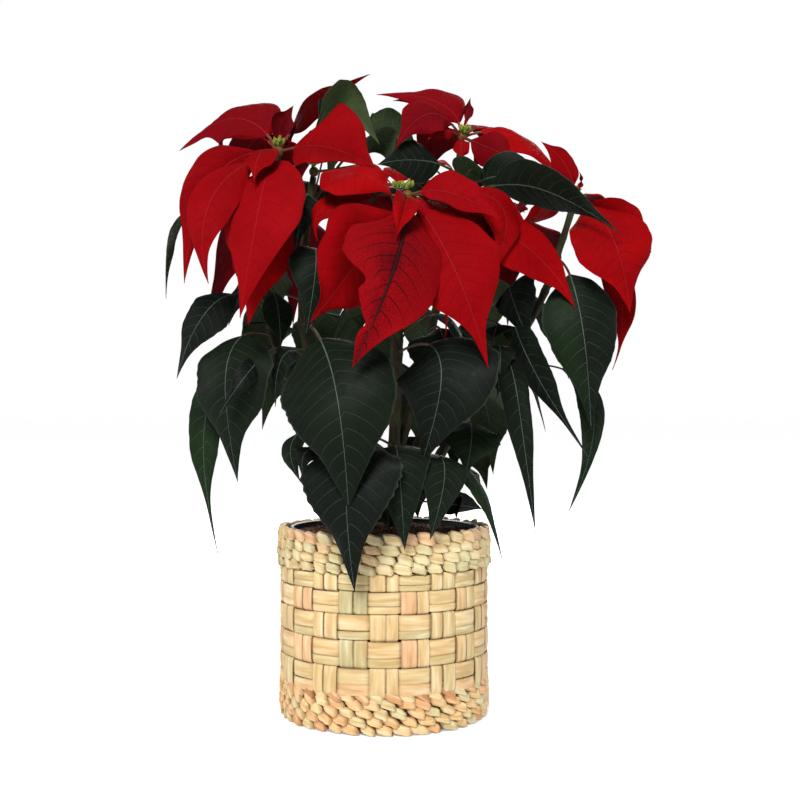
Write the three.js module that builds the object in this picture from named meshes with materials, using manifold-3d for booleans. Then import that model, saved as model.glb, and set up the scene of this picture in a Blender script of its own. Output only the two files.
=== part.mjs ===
// A poinsettia in full bloom in its grow pot, inside a basket woven from palm leaf.
// Millimetres, +Z up, origin on the ground at the centre of the basket's flat underside.

import * as THREE from "three";
import { mergeVertices } from "three/addons/utils/BufferGeometryUtils.js";
import Module from "manifold-3d";

const wasm = await Module();
wasm.setup();

// ---------------------------------------------------------------- driving dimensions

const GAP = 0.3; // clearance between pieces that touch

const BASKET = {
  height: 178,
  wall: 6, // thickness of the weave
  floor: 6, // thickness of the woven base
  footTop: 34,
  bandTop: 142, // where the wide straps end and the rim band starts
  footRadius: 96,
  wallRadius: 95.5,
  rimRadius: 98.5,
  relief: 4, // how far the strands stand out
};
const STRAPS = { columns: 22, rows: 5 };
const TWINING = { knots: 26, rimRows: 4, footRows: 4 };

const POT = { lip: 90.5, top: 88, bottom: 72, height: 170, wall: 2.2, lipDrop: 12, sides: 32 };
const SOIL = { top: 171, sides: 20, crumb: 2.2, heap: 3 };

const BLADE = { thickness: 0.9, widest: 0.38, wave: 2 };
// Shares of a blade's length where it is shaped; a narrow blade needs fewer.
const STATIONS = { wide: [0.12, 0.3, 0.5, 0.7, 0.87], narrow: [0.15, 0.4, 0.72] };
const NARROW = 63;
const STALK = { radius: 1.3, steps: { leaf: [0, 0.5, 1], bract: [0, 1] } };
// The stalk's share of the whole length, and how sharply the blade widens from it.
const FORM = { leaf: { stalk: 0.28, base: 0.7 }, bract: { stalk: 0.12, base: 0.95 } };
const HUB_RADIUS = 4.5;
const FLOWER = { cups: 4, sides: 4, button: 3, ring: 2.6, neck: 1.3, mouth: 2.2, length: 6.5, lean: 0.5 };

const COLOURS = {
  rim: "#d9c793",
  wall: "#dfc18c",
  foot: "#e3bb7c",
  pot: "#3a3a3a",
  soil: "#2c2019",
  leaf: "#20281f",
  bract: "#b00a10",
  flower: "#8a8f2a",
};

// ---------------------------------------------------------------- solids and meshes

const vec = (p) => new THREE.Vector3(...p);

// A closed list of points and triangles as a solid that can be joined and cut.
function solid(points, triangles) {
  const geometry = new THREE.BufferGeometry();
  geometry.setAttribute("position", new THREE.Float32BufferAttribute(points.flat(), 3));
  geometry.setIndex(triangles.flat());
  return solidOfGeometry(geometry);
}

function solidOfGeometry(geometry) {
  const bare = geometry.clone();
  bare.deleteAttribute("normal");
  bare.deleteAttribute("uv");
  const merged = mergeVertices(bare, 1e-3);
  return new wasm.Manifold(
    new wasm.Mesh({
      numProp: 3,
      vertProperties: new Float32Array(merged.attributes.position.array),
      triVerts: new Uint32Array(merged.index.array),
    }),
  );
}

const joined = (solids) => solids.reduce((all, one) => all.add(one));

// The largest body of a solid: a scrap that a cut left is dropped, a sealed pocket is filled.
function mainBody(made) {
  const bodies = made.decompose();
  return bodies.reduce((best, one) => (one.volume() > best.volume() ? one : best));
}

function meshOf(name, made, colour, roughness) {
  const raw = made.getMesh();
  const geometry = new THREE.BufferGeometry();
  geometry.setAttribute("position", new THREE.BufferAttribute(raw.vertProperties, 3));
  geometry.setIndex(new THREE.BufferAttribute(raw.triVerts, 1));
  geometry.computeVertexNormals();
  const material = new THREE.MeshStandardMaterial({ color: colour, roughness, metalness: 0 });
  const mesh = new THREE.Mesh(geometry, material);
  mesh.name = name;
  return mesh;
}

// ---------------------------------------------------------------- basket

// A closed ring whose outside is a grid of heights over angle and height; its inside is plain.
function reliefRing({ columns, heights, outer, inner, shift }) {
  const points = [];
  const rows = heights.length;
  for (let row = 0; row < rows; row += 1) {
    for (let column = 0; column < columns; column += 1) {
      const angle = ((column + shift(row)) / columns) * 2 * Math.PI;
      const radius = outer(column, row);
      points.push([radius * Math.cos(angle), radius * Math.sin(angle), heights[row]]);
    }
  }
  for (const row of [0, rows - 1]) {
    for (let column = 0; column < columns; column += 1) {
      const angle = ((column + shift(row)) / columns) * 2 * Math.PI;
      points.push([inner * Math.cos(angle), inner * Math.sin(angle), heights[row]]);
    }
  }
  const at = (row, column) => row * columns + (column % columns);
  const triangles = [];
  const quad = (a, b, c, d) => triangles.push([a, b, c], [a, c, d]);
  for (let column = 0; column < columns; column += 1) {
    const next = column + 1;
    for (let row = 0; row + 1 < rows; row += 1) {
      quad(at(row, column), at(row, next), at(row + 1, next), at(row + 1, column));
    }
    quad(at(rows - 1, column), at(rows - 1, next), at(rows + 1, next), at(rows + 1, column));
    quad(at(rows + 1, column), at(rows + 1, next), at(rows, next), at(rows, column));
    quad(at(rows, column), at(rows, next), at(0, next), at(0, column));
  }
  return solid(points, triangles);
}

// Rows of slanting knots, each row set half a knot on from the one below.
function twinedBand({ bottom, top, rows, radius, inner }) {
  const columns = TWINING.knots * 2;
  const steps = rows * 2;
  const heights = Array.from({ length: steps + 1 }, (_, step) => bottom + ((top - bottom) * step) / steps);
  const outer = (column, step) => {
    const groove = step % 2 === 0;
    const knot = (column + (step >> 1)) % 2 === 0;
    if (groove) return radius;
    return radius + BASKET.relief * (knot ? 1 : 0.35);
  };
  return reliefRing({ columns, heights, outer, inner, shift: (step) => 0.35 * (step % 2) });
}

// A plain weave of wide flat straps: in each cell either the stake or the hoop lies on top.
function checkerWall({ bottom, top, radius, inner }) {
  const acrossCell = 3;
  const columns = STRAPS.columns * acrossCell;
  const steps = STRAPS.rows * 2;
  const heights = Array.from({ length: steps + 1 }, (_, step) => bottom + ((top - bottom) * step) / steps);
  const outer = (column, step) => {
    const cellRow = step >> 1;
    const cellColumn = Math.floor(column / acrossCell);
    const stakeOnTop = (cellRow + cellColumn) % 2 === 0;
    const between = step % 2 === 0;
    if (between) return radius + BASKET.relief * 0.3;
    const middleAcross = column % acrossCell === 1;
    return radius + BASKET.relief * (stakeOnTop || middleAcross ? 0.95 : 0.1);
  };
  return reliefRing({ columns, heights, outer, inner, shift: () => 0 });
}

function basketFloor(radius) {
  const disc = new THREE.CylinderGeometry(radius, radius, BASKET.floor, TWINING.knots);
  disc.rotateX(Math.PI / 2);
  disc.translate(0, 0, BASKET.floor / 2);
  return solidOfGeometry(disc);
}

function basketFoot() {
  const band = twinedBand({
    bottom: 0,
    top: BASKET.footTop,
    rows: TWINING.footRows,
    radius: BASKET.footRadius,
    inner: BASKET.footRadius - BASKET.wall,
  });
  return band.add(basketFloor(BASKET.footRadius - BASKET.wall / 2));
}

function basketWall() {
  return checkerWall({
    bottom: BASKET.footTop + GAP,
    top: BASKET.bandTop - GAP,
    radius: BASKET.wallRadius,
    inner: BASKET.wallRadius - BASKET.wall,
  });
}

function basketRim() {
  return twinedBand({
    bottom: BASKET.bandTop,
    top: BASKET.height,
    rows: TWINING.rimRows,
    radius: BASKET.rimRadius,
    inner: BASKET.rimRadius - BASKET.wall,
  });
}

// ---------------------------------------------------------------- pot and soil

function lathe(profile, sides) {
  const points = profile.map(([radius, height]) => new THREE.Vector2(radius, height));
  const turned = new THREE.LatheGeometry(points, sides);
  turned.rotateX(Math.PI / 2);
  return solidOfGeometry(turned);
}

function growPot() {
  const base = BASKET.floor + GAP;
  const rim = base + POT.height;
  return lathe(
    [
      [0, base],
      [POT.bottom, base],
      [POT.top - POT.wall, rim - POT.lipDrop],
      [POT.lip, rim - POT.lipDrop],
      [POT.lip, rim],
      [POT.top - POT.wall, rim],
      [POT.bottom - POT.wall, base + POT.wall],
      [0, base + POT.wall],
    ],
    POT.sides,
  );
}

// The soil fills the pot to just under its lip and is heaped in low uneven crumbs.
function soilBody() {
  const base = BASKET.floor + GAP + POT.wall + GAP;
  const wallAt = (height) => {
    const share = (height - BASKET.floor - GAP) / POT.height;
    return POT.bottom + (POT.top - POT.bottom) * share - POT.wall - 2 * GAP;
  };
  const rings = [1, 0.82, 0.62, 0.4, 0.2];
  const { sides } = SOIL;
  const points = [[0, 0, base]];
  const ring = (radius, height) => {
    for (let side = 0; side < sides; side += 1) {
      const angle = (side / sides) * 2 * Math.PI;
      points.push([radius * Math.cos(angle), radius * Math.sin(angle), height(side)]);
    }
  };
  ring(wallAt(base) - POT.wall, () => base);
  rings.forEach((share, row) => {
    const crumb = (side) => SOIL.crumb * Math.sin(side * 2.3 + row * 1.9) * (share === 1 ? 0.2 : 1);
    ring((wallAt(SOIL.top) - POT.wall) * share, (side) => SOIL.top + crumb(side) + SOIL.heap * (1 - share));
  });
  points.push([0, 0, SOIL.top + SOIL.heap]);
  const at = (row, side) => 1 + row * sides + (side % sides);
  const last = points.length - 1;
  const triangles = [];
  for (let side = 0; side < sides; side += 1) {
    triangles.push([0, at(0, side + 1), at(0, side)]);
    triangles.push([last, at(rings.length, side), at(rings.length, side + 1)]);
    for (let row = 0; row < rings.length; row += 1) {
      triangles.push([at(row, side), at(row, side + 1), at(row + 1, side + 1)]);
      triangles.push([at(row, side), at(row + 1, side + 1), at(row + 1, side)]);
    }
  }
  return solid(points, triangles).subtract(stemSolid("front", GAP));
}

// ---------------------------------------------------------------- stems

// Each stem is a smooth line through its points. The first stands in the soil, the rest
// leave it as branches. Radii run from the foot of the stem to its top.
const STEMS = {
  front: { path: [[6, 4, 110], [8, 2, 200], [12, -14, 320], [15, -55, 410], [20, -90, 472]], radii: [7, 3.6] },
  near: { path: [[4, -5, 238], [-45, -12, 290], [-74, -22, 352], [-74, -38, 430], [-65, -47, 501]], radii: [4.6, 3] },
  left: { path: [[4, 3, 180], [-70, 18, 280], [-110, 30, 364], [-114, 10, 440], [-100, -19, 526]], radii: [4.8, 3] },
  top: { path: [[11, 3, 236], [38, 25, 330], [62, 34, 440], [76, 28, 551]], radii: [5, 3] },
  right: { path: [[12, 2, 182], [85, 10, 290], [150, 8, 390], [168, 2, 440], [182, -4, 486]], radii: [5, 3] },
  backLeft: { path: [[6, 4, 224], [-40, 75, 290], [-75, 115, 390], [-86, 127, 480]], radii: [4.6, 3] },
  backRight: { path: [[11, 6, 212], [60, 70, 300], [105, 100, 390], [119, 114, 472]], radii: [4.6, 3] },
  back: { path: [[9, 1, 256], [10, 70, 330], [14, 128, 430], [15, 152, 518]], radii: [4.4, 3] },
};

const stemCurve = (key) => new THREE.CatmullRomCurve3(STEMS[key].path.map(vec));

// A round limb along a curve, narrowing from one radius to the other.
function limb(curve, steps, sides, [from, to]) {
  const frames = curve.computeFrenetFrames(steps, false);
  const points = [];
  for (let step = 0; step <= steps; step += 1) {
    const centre = curve.getPointAt(step / steps);
    const radius = from + ((to - from) * step) / steps;
    for (let side = 0; side < sides; side += 1) {
      const angle = (side / sides) * 2 * Math.PI;
      const out = frames.normals[step].clone().multiplyScalar(radius * Math.cos(angle));
      out.addScaledVector(frames.binormals[step], radius * Math.sin(angle));
      points.push(centre.clone().add(out).toArray());
    }
  }
  const at = (step, side) => step * sides + (side % sides);
  const triangles = [];
  for (let side = 0; side < sides; side += 1) {
    for (let step = 0; step < steps; step += 1) {
      triangles.push([at(step, side), at(step, side + 1), at(step + 1, side + 1)]);
      triangles.push([at(step, side), at(step + 1, side + 1), at(step + 1, side)]);
    }
    if (side > 1) {
      triangles.push([at(0, 0), at(0, side), at(0, side - 1)]);
      triangles.push([at(steps, 0), at(steps, side - 1), at(steps, side)]);
    }
  }
  return solid(points, triangles);
}

// ---------------------------------------------------------------- blades

// A blade's midrib is an arc from its foot through a middle point to its tip.
function midrib({ foot, middle, tip }) {
  const knee = middle.clone().multiplyScalar(2);
  knee.addScaledVector(foot, -0.5).addScaledVector(tip, -0.5);
  return new THREE.QuadraticBezierCurve3(foot, knee, tip);
}

// The side and upper directions of a blade at a point of its midrib. An unrolled blade
// has its upper face on the outside of the arc.
function bladeFrame(curve, share, roll) {
  const along = curve.getTangent(share).normalize();
  const side = curve.v1.clone().sub(curve.v0);
  side.cross(curve.v2.clone().sub(curve.v1)).normalize();
  const up = along.clone().cross(side).normalize();
  const turn = THREE.MathUtils.degToRad(roll);
  const rolledSide = side.clone().multiplyScalar(Math.cos(turn)).addScaledVector(up, Math.sin(turn));
  return { side: rolledSide, up: along.clone().cross(rolledSide).normalize() };
}

// Half the width of a blade at a share of its length, against its greatest: widening from the
// foot, fast in a leaf and slower in a bract, full at the middle and drawn out to a point.
function outline(share, base) {
  if (share < BLADE.widest) return Math.sin((Math.PI / 2) * (share / BLADE.widest)) ** base;
  const past = (share - BLADE.widest) / (1 - BLADE.widest);
  return (1 - past ** 1.75) * (1 - 0.3 * past ** 3);
}

// One station across a blade: its left margin, midrib and right margin.
function stationAcross(blade, curve, at, half, wave, thickness) {
  const { side, up } = bladeFrame(curve, at, blade.roll);
  const fold = THREE.MathUtils.degToRad(half > STALK.radius ? blade.fold : 0);
  return [-1, 0, 1].map((hand) => {
    const point = curve.getPoint(at);
    point.addScaledVector(side, hand * half * Math.cos(fold));
    point.addScaledVector(up, Math.abs(hand) * (half * Math.sin(fold) + wave(hand)));
    const skin = up.clone().multiplyScalar(thickness / 2);
    return { upper: point.clone().add(skin).toArray(), lower: point.clone().sub(skin).toArray() };
  });
}

// A leaf or bract: a stout narrow stalk that opens into a blade of even thickness, creased
// along its midrib and waved along its margins. Upper and lower faces are split alike.
function bladeSolid(blade) {
  const curve = midrib(blade);
  const still = () => 0;
  const rows = STALK.steps[blade.kind].map((share) =>
    stationAcross(blade, curve, share * blade.stalk, STALK.radius, still, 2 * STALK.radius),
  );
  STATIONS[blade.width < NARROW ? "narrow" : "wide"].forEach((share, station) => {
    const at = blade.stalk + (1 - blade.stalk) * share;
    const half = (blade.width / 2) * outline(share, blade.base);
    const wave = (hand) => BLADE.wave * Math.sin(station * 2.4 + hand * 1.7 + blade.width);
    rows.push(stationAcross(blade, curve, at, half, wave, BLADE.thickness));
  });
  const tip = curve.getPoint(1);
  const { up } = bladeFrame(curve, 1, blade.roll);
  const skin = up.multiplyScalar(BLADE.thickness / 2);
  const ring = rows.flat();
  const points = [...ring.map((p) => p.upper), tip.clone().add(skin).toArray()];
  const count = points.length;
  points.push(...ring.map((p) => p.lower), tip.clone().sub(skin).toArray());
  const at = (row, hand) => 3 * row + 1 + hand;
  const apex = count - 1;
  const faces = [];
  for (let row = 0; row + 1 < rows.length; row += 1) {
    for (const hand of [-1, 0]) {
      faces.push([at(row, hand), at(row, hand + 1), at(row + 1, hand)]);
      faces.push([at(row, hand + 1), at(row + 1, hand + 1), at(row + 1, hand)]);
    }
  }
  const end = rows.length - 1;
  faces.push([at(end, -1), at(end, 0), apex], [at(end, 0), at(end, 1), apex]);
  const margin = [at(0, -1), at(0, 0), ...rows.map((_, row) => at(row, 1)), apex];
  for (let row = end; row > 0; row -= 1) margin.push(at(row, -1));
  const triangles = [];
  for (const [a, b, c] of faces) {
    triangles.push([a, c, b]);
    triangles.push([a + count, b + count, c + count]);
  }
  margin.forEach((a, place) => {
    const b = margin[(place + 1) % margin.length];
    triangles.push([a, b, a + count], [b, b + count, a + count]);
  });
  return solid(points, triangles);
}

// ---------------------------------------------------------------- leaves

// Leaves by stem. A row gives the share of the stem's length at which the leaf grows, a point
// halfway along its midrib, its tip, its width, and how far it is rolled and folded in degrees.
const LEAVES = {
  front: [
    [0.37, [-28, -122, 246], [-25, -126, 132], 92, -1, -12],
    [0.29, [11, -108, 252], [18, -112, 166], 58, 0, -12],
    [0.26, [50, -92, 246], [40, -106, 174], 56, 0, -12],
    [0.25, [71, -46, 233], [109, -46, 147], 50, -16, -12],
    [0.61, [48, -115, 330], [32, -107, 238], 102, 41, -12],
    [0.27, [-56, -92, 254], [-70, -96, 224], 30, 0, -12],
    [0.22, [34, 56, 259], [42, 55, 210], 43, 12, -12],
    [0.28, [66, 40, 272], [84, 62, 225], 44, 0, -12],
    [0.22, [58, 30, 218], [72, 48, 178], 54, 0, -12],
    [0.24, [26, 45, 219], [34, 58, 178], 58, 1, -12],
    [0.7, [-30, -20, 385], [-48, -10, 340], 50, 0, -12],
    [0.64, [58, -41, 374], [80, -31, 320], 53, -9, -12],
    [0.24, [65, 36, 194], [99, 64, 187], 27, 47, -12],
    [0.22, [61, 65, 263], [71, 66, 222], 55, -1, -12],
  ],
  near: [
    [0.54, [-44, -140, 319], [-30, -139, 203], 104, 20, -12],
    [0.72, [-60, -90, 424], [-70, -80, 352], 48, 0, -12],
    [0.4, [-91, -50, 338], [-100, -44, 290], 28, 0, -12],
    [0.93, [-50, -4, 580], [-4, 0, 541], 48, -35, -12],
    [0.8, [-74, 12, 508], [-84, 20, 455], 52, 0, -12],
    [0.9, [-15, 22, 552], [9, 32, 520], 43, -19, -12],
    [0.55, [-48, 20, 376], [-42, 24, 332], 50, 0, -12],
    [0.86, [-52, 14, 572], [-70, 7, 546], 40, 4, -12],
    [0.92, [-71, -71, 476], [-80, -70, 429], 34, -5, -12],
  ],
  left: [
    [0.55, [-143, -39, 335], [-137, -27, 220], 91, 3, -12],
    [0.48, [-167, 5, 298], [-160, 8, 147], 34, -70, -12],
    [0.62, [-160, -12, 389], [-197, -8, 317], 50, -15, -12],
    [0.9, [-57, 21, 552], [-58, 77, 509], 38, 14, -12],
    [0.52, [-118, -55, 328], [-150, -62, 282], 20, 0, -12],
    [0.75, [-197, 50, 484], [-219, 56, 399], 44, -20, -12],
    [0.3, [-84, -56, 256], [-76, -60, 222], 22, 0, -12],
    [0.7, [-100, -24, 384], [-97, -30, 344], 30, 0, -12],
    [0.55, [-116, 44, 372], [-122, 60, 330], 56, 0, -12],
    [0.8, [-104, 30, 425], [-110, 44, 385], 50, 0, -12],
    [0.62, [-134, 12, 408], [-151, 16, 369], 54, -6, -12],
  ],
  top: [
    [0.9, [38, 0, 526], [-6, -20, 518], 44, -35, -12],
    [0.82, [131, -59, 490], [208, -91, 443], 53, 83, -12],
    [0.86, [8, 36, 562], [-10, 36, 580], 38, -60, -12],
    [0.42, [56, -24, 352], [60, -34, 280], 70, 0, -12],
    [0.84, [110, -12, 509], [150, -14, 500], 44, 48, -12],
    [0.78, [84, 5, 519], [98, 3, 498], 48, -52, -12],
  ],
  right: [
    [0.64, [128, -42, 345], [190, -48, 240], 35, 21, -12],
    [0.5, [117, -67, 314], [137, -65, 175], 32, -19, -12],
    [0.84, [177, -58, 382], [192, -38, 268], 70, 4, -12],
    [0.5, [196, 1, 305], [174, -12, 188], 28, 62, -12],
    [0.33, [80, -55, 268], [74, -60, 228], 56, 0, -12],
    [0.4, [104, -58, 345], [103, -60, 298], 32, 0, -12],
    [0.66, [118, -24, 402], [140, -30, 340], 54, 20, -12],
    [0.22, [87, 40, 249], [103, 52, 208], 39, -3, -12],
    [0.5, [80, 20, 372], [92, 20, 330], 46, 0, -12],
    [0.45, [112, 30, 370], [122, 34, 326], 48, 0, -12],
  ],
  backLeft: [],
  backRight: [],
  back: [
    [0.17, [31, 81, 300], [39, 76, 240], 50, 3, -12],
    [0.93, [28, 92, 522], [50, 66, 494], 56, 0, -12],
    [0.9, [2, 100, 520], [-14, 70, 496], 46, 0, -12],
  ],
};

// Leaves on the far side of the plant grow around their stems at even turns.
const LEAF_RINGS = {
  front: { shares: [0.215, 0.235, 0.225], facing: 88, spread: -50, reach: 122, lift: 36, drop: 4, width: 62 },
  left: { shares: [0.42], facing: 176, spread: 24, reach: 76, lift: 8, drop: 66, width: 54 },
  right: { shares: [0.36, 0.57, 0.74], facing: 70, spread: 30, reach: 80, lift: 8, drop: 66, width: 54 },
  backLeft: { shares: [0.42, 0.52, 0.62, 0.72, 0.84], facing: 118, spread: 22, reach: 84, lift: 9, drop: 70, width: 62 },
  backRight: { shares: [0.42, 0.53, 0.64, 0.73, 0.82], facing: 36, spread: -26, reach: 88, lift: 9, drop: 72, width: 62 },
  back: { shares: [0.3, 0.44, 0.56, 0.68], facing: 88, spread: 18, reach: 84, lift: 9, drop: 78, width: 58 },
};

// ---------------------------------------------------------------- blooms

// Each bloom's hub is a small ball just off the end of its stem.
function hubOf(key) {
  const curve = stemCurve(key);
  return curve.getPointAt(1).addScaledVector(curve.getTangentAt(1), HUB_RADIUS + GAP).toArray();
}

// Bracts by bloom, named for the stem that carries it. A row gives a point halfway along the
// bract's midrib, its tip, its width, and how far it is rolled and folded in degrees.
const BLOOMS = {
  front: {
    bracts: [
      [[10, -158, 411], [-26, -160, 322], 92, 0, -8],
      [[-21, -118, 415], [-63, -132, 361], 100, -23, -10],
      [[-48, -92, 468], [-58, -92, 435], 26, -56, -10],
      [[57, -135, 412], [89, -128, 322], 84, 12, -10],
      [[50, -106, 418], [53, -104, 348], 50, 0, -10],
      [[60, -112, 474], [101, -114, 450], 45, 12, 14],
      [[102, -84, 469], [87, -95, 394], 53, 52, -10],
      [[122, -68, 438], [173, -60, 380], 58, 74, -10],
      [[102, -54, 478], [132, -58, 446], 34, 60, -10],
      [[17, -139, 456], [9, -158, 428], 28, 0, 34],
      [[34, -108, 463], [44, -116, 444], 24, 0, -10],
    ],
  },
  near: {
    bracts: [
      [[-22, -89, 496], [7, -98, 475], 80, -19, -10],
    ],
  },
  left: {
    bracts: [
      [[-141, 2, 566], [-197, 7, 537], 104, -55, -10],
      [[-155, -66, 494], [-183, -50, 403], 46, -50, -10],
      [[-109, -108, 462], [-124, -116, 366], 82, 28, -10],
      [[-110, -80, 515], [-114, -98, 487], 30, 0, -10],
      [[-51, -46, 528], [-8, -76, 504], 84, 66, 16],
      [[-66, 30, 589], [-14, 44, 621], 46, 32, -10],
      [[-99, -1, 556], [-88, 17, 583], 30, -30, -10],
      [[-151, -98, 472], [-153, -104, 397], 46, -25, -10],
      [[-108, -76, 440], [-122, -72, 363], 60, 0, -10],
    ],
  },
  top: {
    flowersLean: [0.6, -1.4],
    bracts: [
      [[54, 28, 589], [-7, 22, 595], 59, -51, -10],
      [[42, -2, 570], [11, -16, 534], 48, -40, -10],
      [[81, 33, 579], [85, 30, 594], 15, -70, 20],
      [[54, 4, 556], [42, -6, 544], 22, -40, -10],
      [[74, 0, 539], [74, -6, 525], 17, 0, -10],
      [[103, 0, 537], [125, -10, 526], 36, -20, -10],
      [[133, 27, 553], [175, 22, 503], 50, 42, -10],
      [[44, 38, 588], [9, 34, 592], 30, -60, -10],
      [[106, 40, 532], [128, 36, 478], 56, 60, -10],
    ],
  },
  right: {
    flowersLean: [-0.2, 1],
    bracts: [
      [[172, -9, 520], [149, -13, 541], 29, -68, -10],
      [[216, -40, 457], [246, -46, 432], 50, 40, -10],
      [[205, -74, 440], [221, -72, 374], 76, 0, -10],
      [[221, -24, 402], [216, -15, 325], 29, 64, -10],
      [[151, -25, 472], [125, -32, 459], 44, -60, -10],
      [[188, -8, 503], [186, -9, 513], 8, 0, -10],
    ],
  },
  backLeft: { bracts: [] },
  backRight: { bracts: [] },
  back: { bracts: [] },
};

// Bracts on the far side of the plant stand around their hubs in two layers.
const BRACT_RINGS = {
  near: [],
  left: [{ count: 2, facing: 105, spread: 50, reach: 64, lift: 14, drop: 44, width: 50 }],
  front: [],
  top: [{ count: 2, facing: 78, spread: 56, reach: 84, lift: 14, drop: 30, width: 54 }],
  right: [{ count: 1, facing: 35, spread: 0, reach: 56, lift: -6, drop: 66, width: 44 }],
  backLeft: [
    { count: 4, facing: 168, spread: 46, reach: 114, lift: 4, drop: 98, width: 74 },
    { count: 3, facing: 140, spread: 84, reach: 56, lift: 32, drop: -26, width: 36 },
  ],
  backRight: [
    { count: 4, facing: 90, spread: 34, reach: 98, lift: 4, drop: 96, width: 74 },
    { count: 3, facing: 50, spread: 80, reach: 56, lift: 32, drop: -26, width: 36 },
  ],
  back: [
    { count: 3, facing: 88, spread: 44, reach: 92, lift: 6, drop: 72, width: 64 },
    { count: 3, facing: 84, spread: 84, reach: 54, lift: 32, drop: -26, width: 36 },
  ],
};

const SHINGLE = 17; // roll that lays one margin of each blade over its neighbour

// A blade row that leaves a foot in a given compass direction, first rising and then hanging.
function hangingRow(foot, facing, reach, lift, drop, width, place) {
  const angle = THREE.MathUtils.degToRad(facing + 7 * Math.sin(place * 2.3));
  const length = reach * (1 + 0.12 * Math.sin(place * 1.7 + 1));
  const [x, y] = [Math.cos(angle), Math.sin(angle)];
  const [fx, fy, fz] = foot;
  const middle = [fx + 0.62 * length * x, fy + 0.62 * length * y, fz + lift];
  const tip = [fx + length * x, fy + length * y, fz - drop];
  return [middle, tip, width * (1 + 0.1 * Math.cos(place * 2.9)), SHINGLE, -10];
}

function ringBracts(key) {
  const hub = hubOf(key);
  return BRACT_RINGS[key].flatMap(({ count, facing, spread, reach, lift, drop, width }) =>
    Array.from({ length: count }, (_, place) =>
      hangingRow(hub, facing + spread * (place - (count - 1) / 2), reach, lift, drop, width, place),
    ),
  );
}

function ringLeaves(key) {
  if (!LEAF_RINGS[key]) return [];
  const { shares, facing, spread, reach, lift, drop, width } = LEAF_RINGS[key];
  return shares.map((share, place) => {
    const foot = stemCurve(key).getPointAt(share).toArray();
    const turn = spread * (place % 2 ? (place + 1) / 2 : -place / 2);
    return [share, ...hangingRow(foot, facing + turn, reach, lift, drop, width, place)];
  });
}

// A bract's stalk starts in the side of its hub that faces the bract.
function bractOf(hub, [middle, tip, width, roll, fold]) {
  const centre = vec(hub);
  const towards = vec(middle).sub(centre).normalize();
  const foot = centre.addScaledVector(towards, HUB_RADIUS - STALK.radius);
  return { kind: "bract", foot, middle: vec(middle), tip: vec(tip), width, roll, fold, ...FORM.bract };
}

function leafOf(key, [share, middle, tip, width, roll, fold]) {
  const foot = stemCurve(key).getPointAt(share);
  return { kind: "leaf", foot, middle: vec(middle), tip: vec(tip), width, roll, fold, ...FORM.leaf };
}

const leavesOf = (key) => [...LEAVES[key], ...ringLeaves(key)].map((row) => leafOf(key, row));

const bractsOf = (key) => {
  const rows = [...BLOOMS[key].bracts, ...ringBracts(key)];
  return rows.map((row) => bractOf(hubOf(key), row));
};

function stemSolid(key, extra = 0) {
  return limb(stemCurve(key), 7, 6, STEMS[key].radii.map((radius) => radius + extra));
}

// A branch is cut clear of the main stem that it leaves.
function leafyStem(key) {
  const grown = joined([stemSolid(key), ...leavesOf(key).map(bladeSolid)]);
  return mainBody(key === "front" ? grown : grown.subtract(stemSolid("front", 1.4 * GAP)));
}

function ball(centre, radius, detail) {
  const shape = new THREE.IcosahedronGeometry(radius, detail);
  shape.translate(...centre);
  return solidOfGeometry(shape);
}

// The true flowers: a few small cups crowded on a button that sits on the hub. It sits at the
// top, or leans aside where a bract stands upright there.
function flowerCluster(key) {
  const outward = vec([...(BLOOMS[key].flowersLean ?? [0, 0]), 1]).normalize();
  const seat = vec(hubOf(key)).addScaledVector(outward, HUB_RADIUS + GAP + FLOWER.button);
  const [x, y, base] = seat.toArray();
  const button = ball([x, y, base], FLOWER.button, 0);
  const cups = Array.from({ length: FLOWER.cups }, (_, place) => {
    const angle = (place / FLOWER.cups) * 2 * Math.PI + place;
    const reach = place === 0 ? 0 : FLOWER.ring;
    const shape = new THREE.CylinderGeometry(FLOWER.mouth, FLOWER.neck, FLOWER.length, FLOWER.sides);
    shape.rotateX(Math.PI / 2);
    shape.translate(0, 0, FLOWER.length / 2);
    shape.rotateY(place === 0 ? 0 : FLOWER.lean);
    shape.rotateZ(angle);
    shape.translate(x + reach * Math.cos(angle), y + reach * Math.sin(angle), base);
    return solidOfGeometry(shape);
  });
  return mainBody(joined([button, ...cups]));
}

function bloom(key) {
  return mainBody(joined([ball(hubOf(key), HUB_RADIUS, 1), ...bractsOf(key).map(bladeSolid)]));
}

// ---------------------------------------------------------------- the plant

const plant = new THREE.Group();
plant.add(meshOf("basket_foot", basketFoot(), COLOURS.foot, 0.7));
plant.add(meshOf("basket_wall", basketWall(), COLOURS.wall, 0.65));
plant.add(meshOf("basket_rim", basketRim(), COLOURS.rim, 0.7));
plant.add(meshOf("grow_pot", growPot(), COLOURS.pot, 0.5));
plant.add(meshOf("soil", soilBody(), COLOURS.soil, 0.95));

Object.keys(STEMS).forEach((key, place) => {
  plant.add(meshOf(`leafy_stem_${place + 1}`, leafyStem(key), COLOURS.leaf, 0.6));
  plant.add(meshOf(`bloom_${place + 1}`, bloom(key), COLOURS.bract, 0.6));
  plant.add(meshOf(`flowers_${place + 1}`, flowerCluster(key), COLOURS.flower, 0.5));
});

export default plant;
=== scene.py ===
# %% [markdown]
# # A poinsettia in its woven basket
# The plant is a potted poinsettia in full bloom: eight stems, dark leaves, scarlet bracts that
# look like petals, and a few small true flowers at the heart of each bloom. It stands in its
# grow pot inside a basket of palm leaf. The CAD model gives every stem, blade and band its
# place, and this lesson puts a finer piece over each of them.

import math
import random

import bpy
import numpy as np
from mathutils import Matrix, Vector


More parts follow.
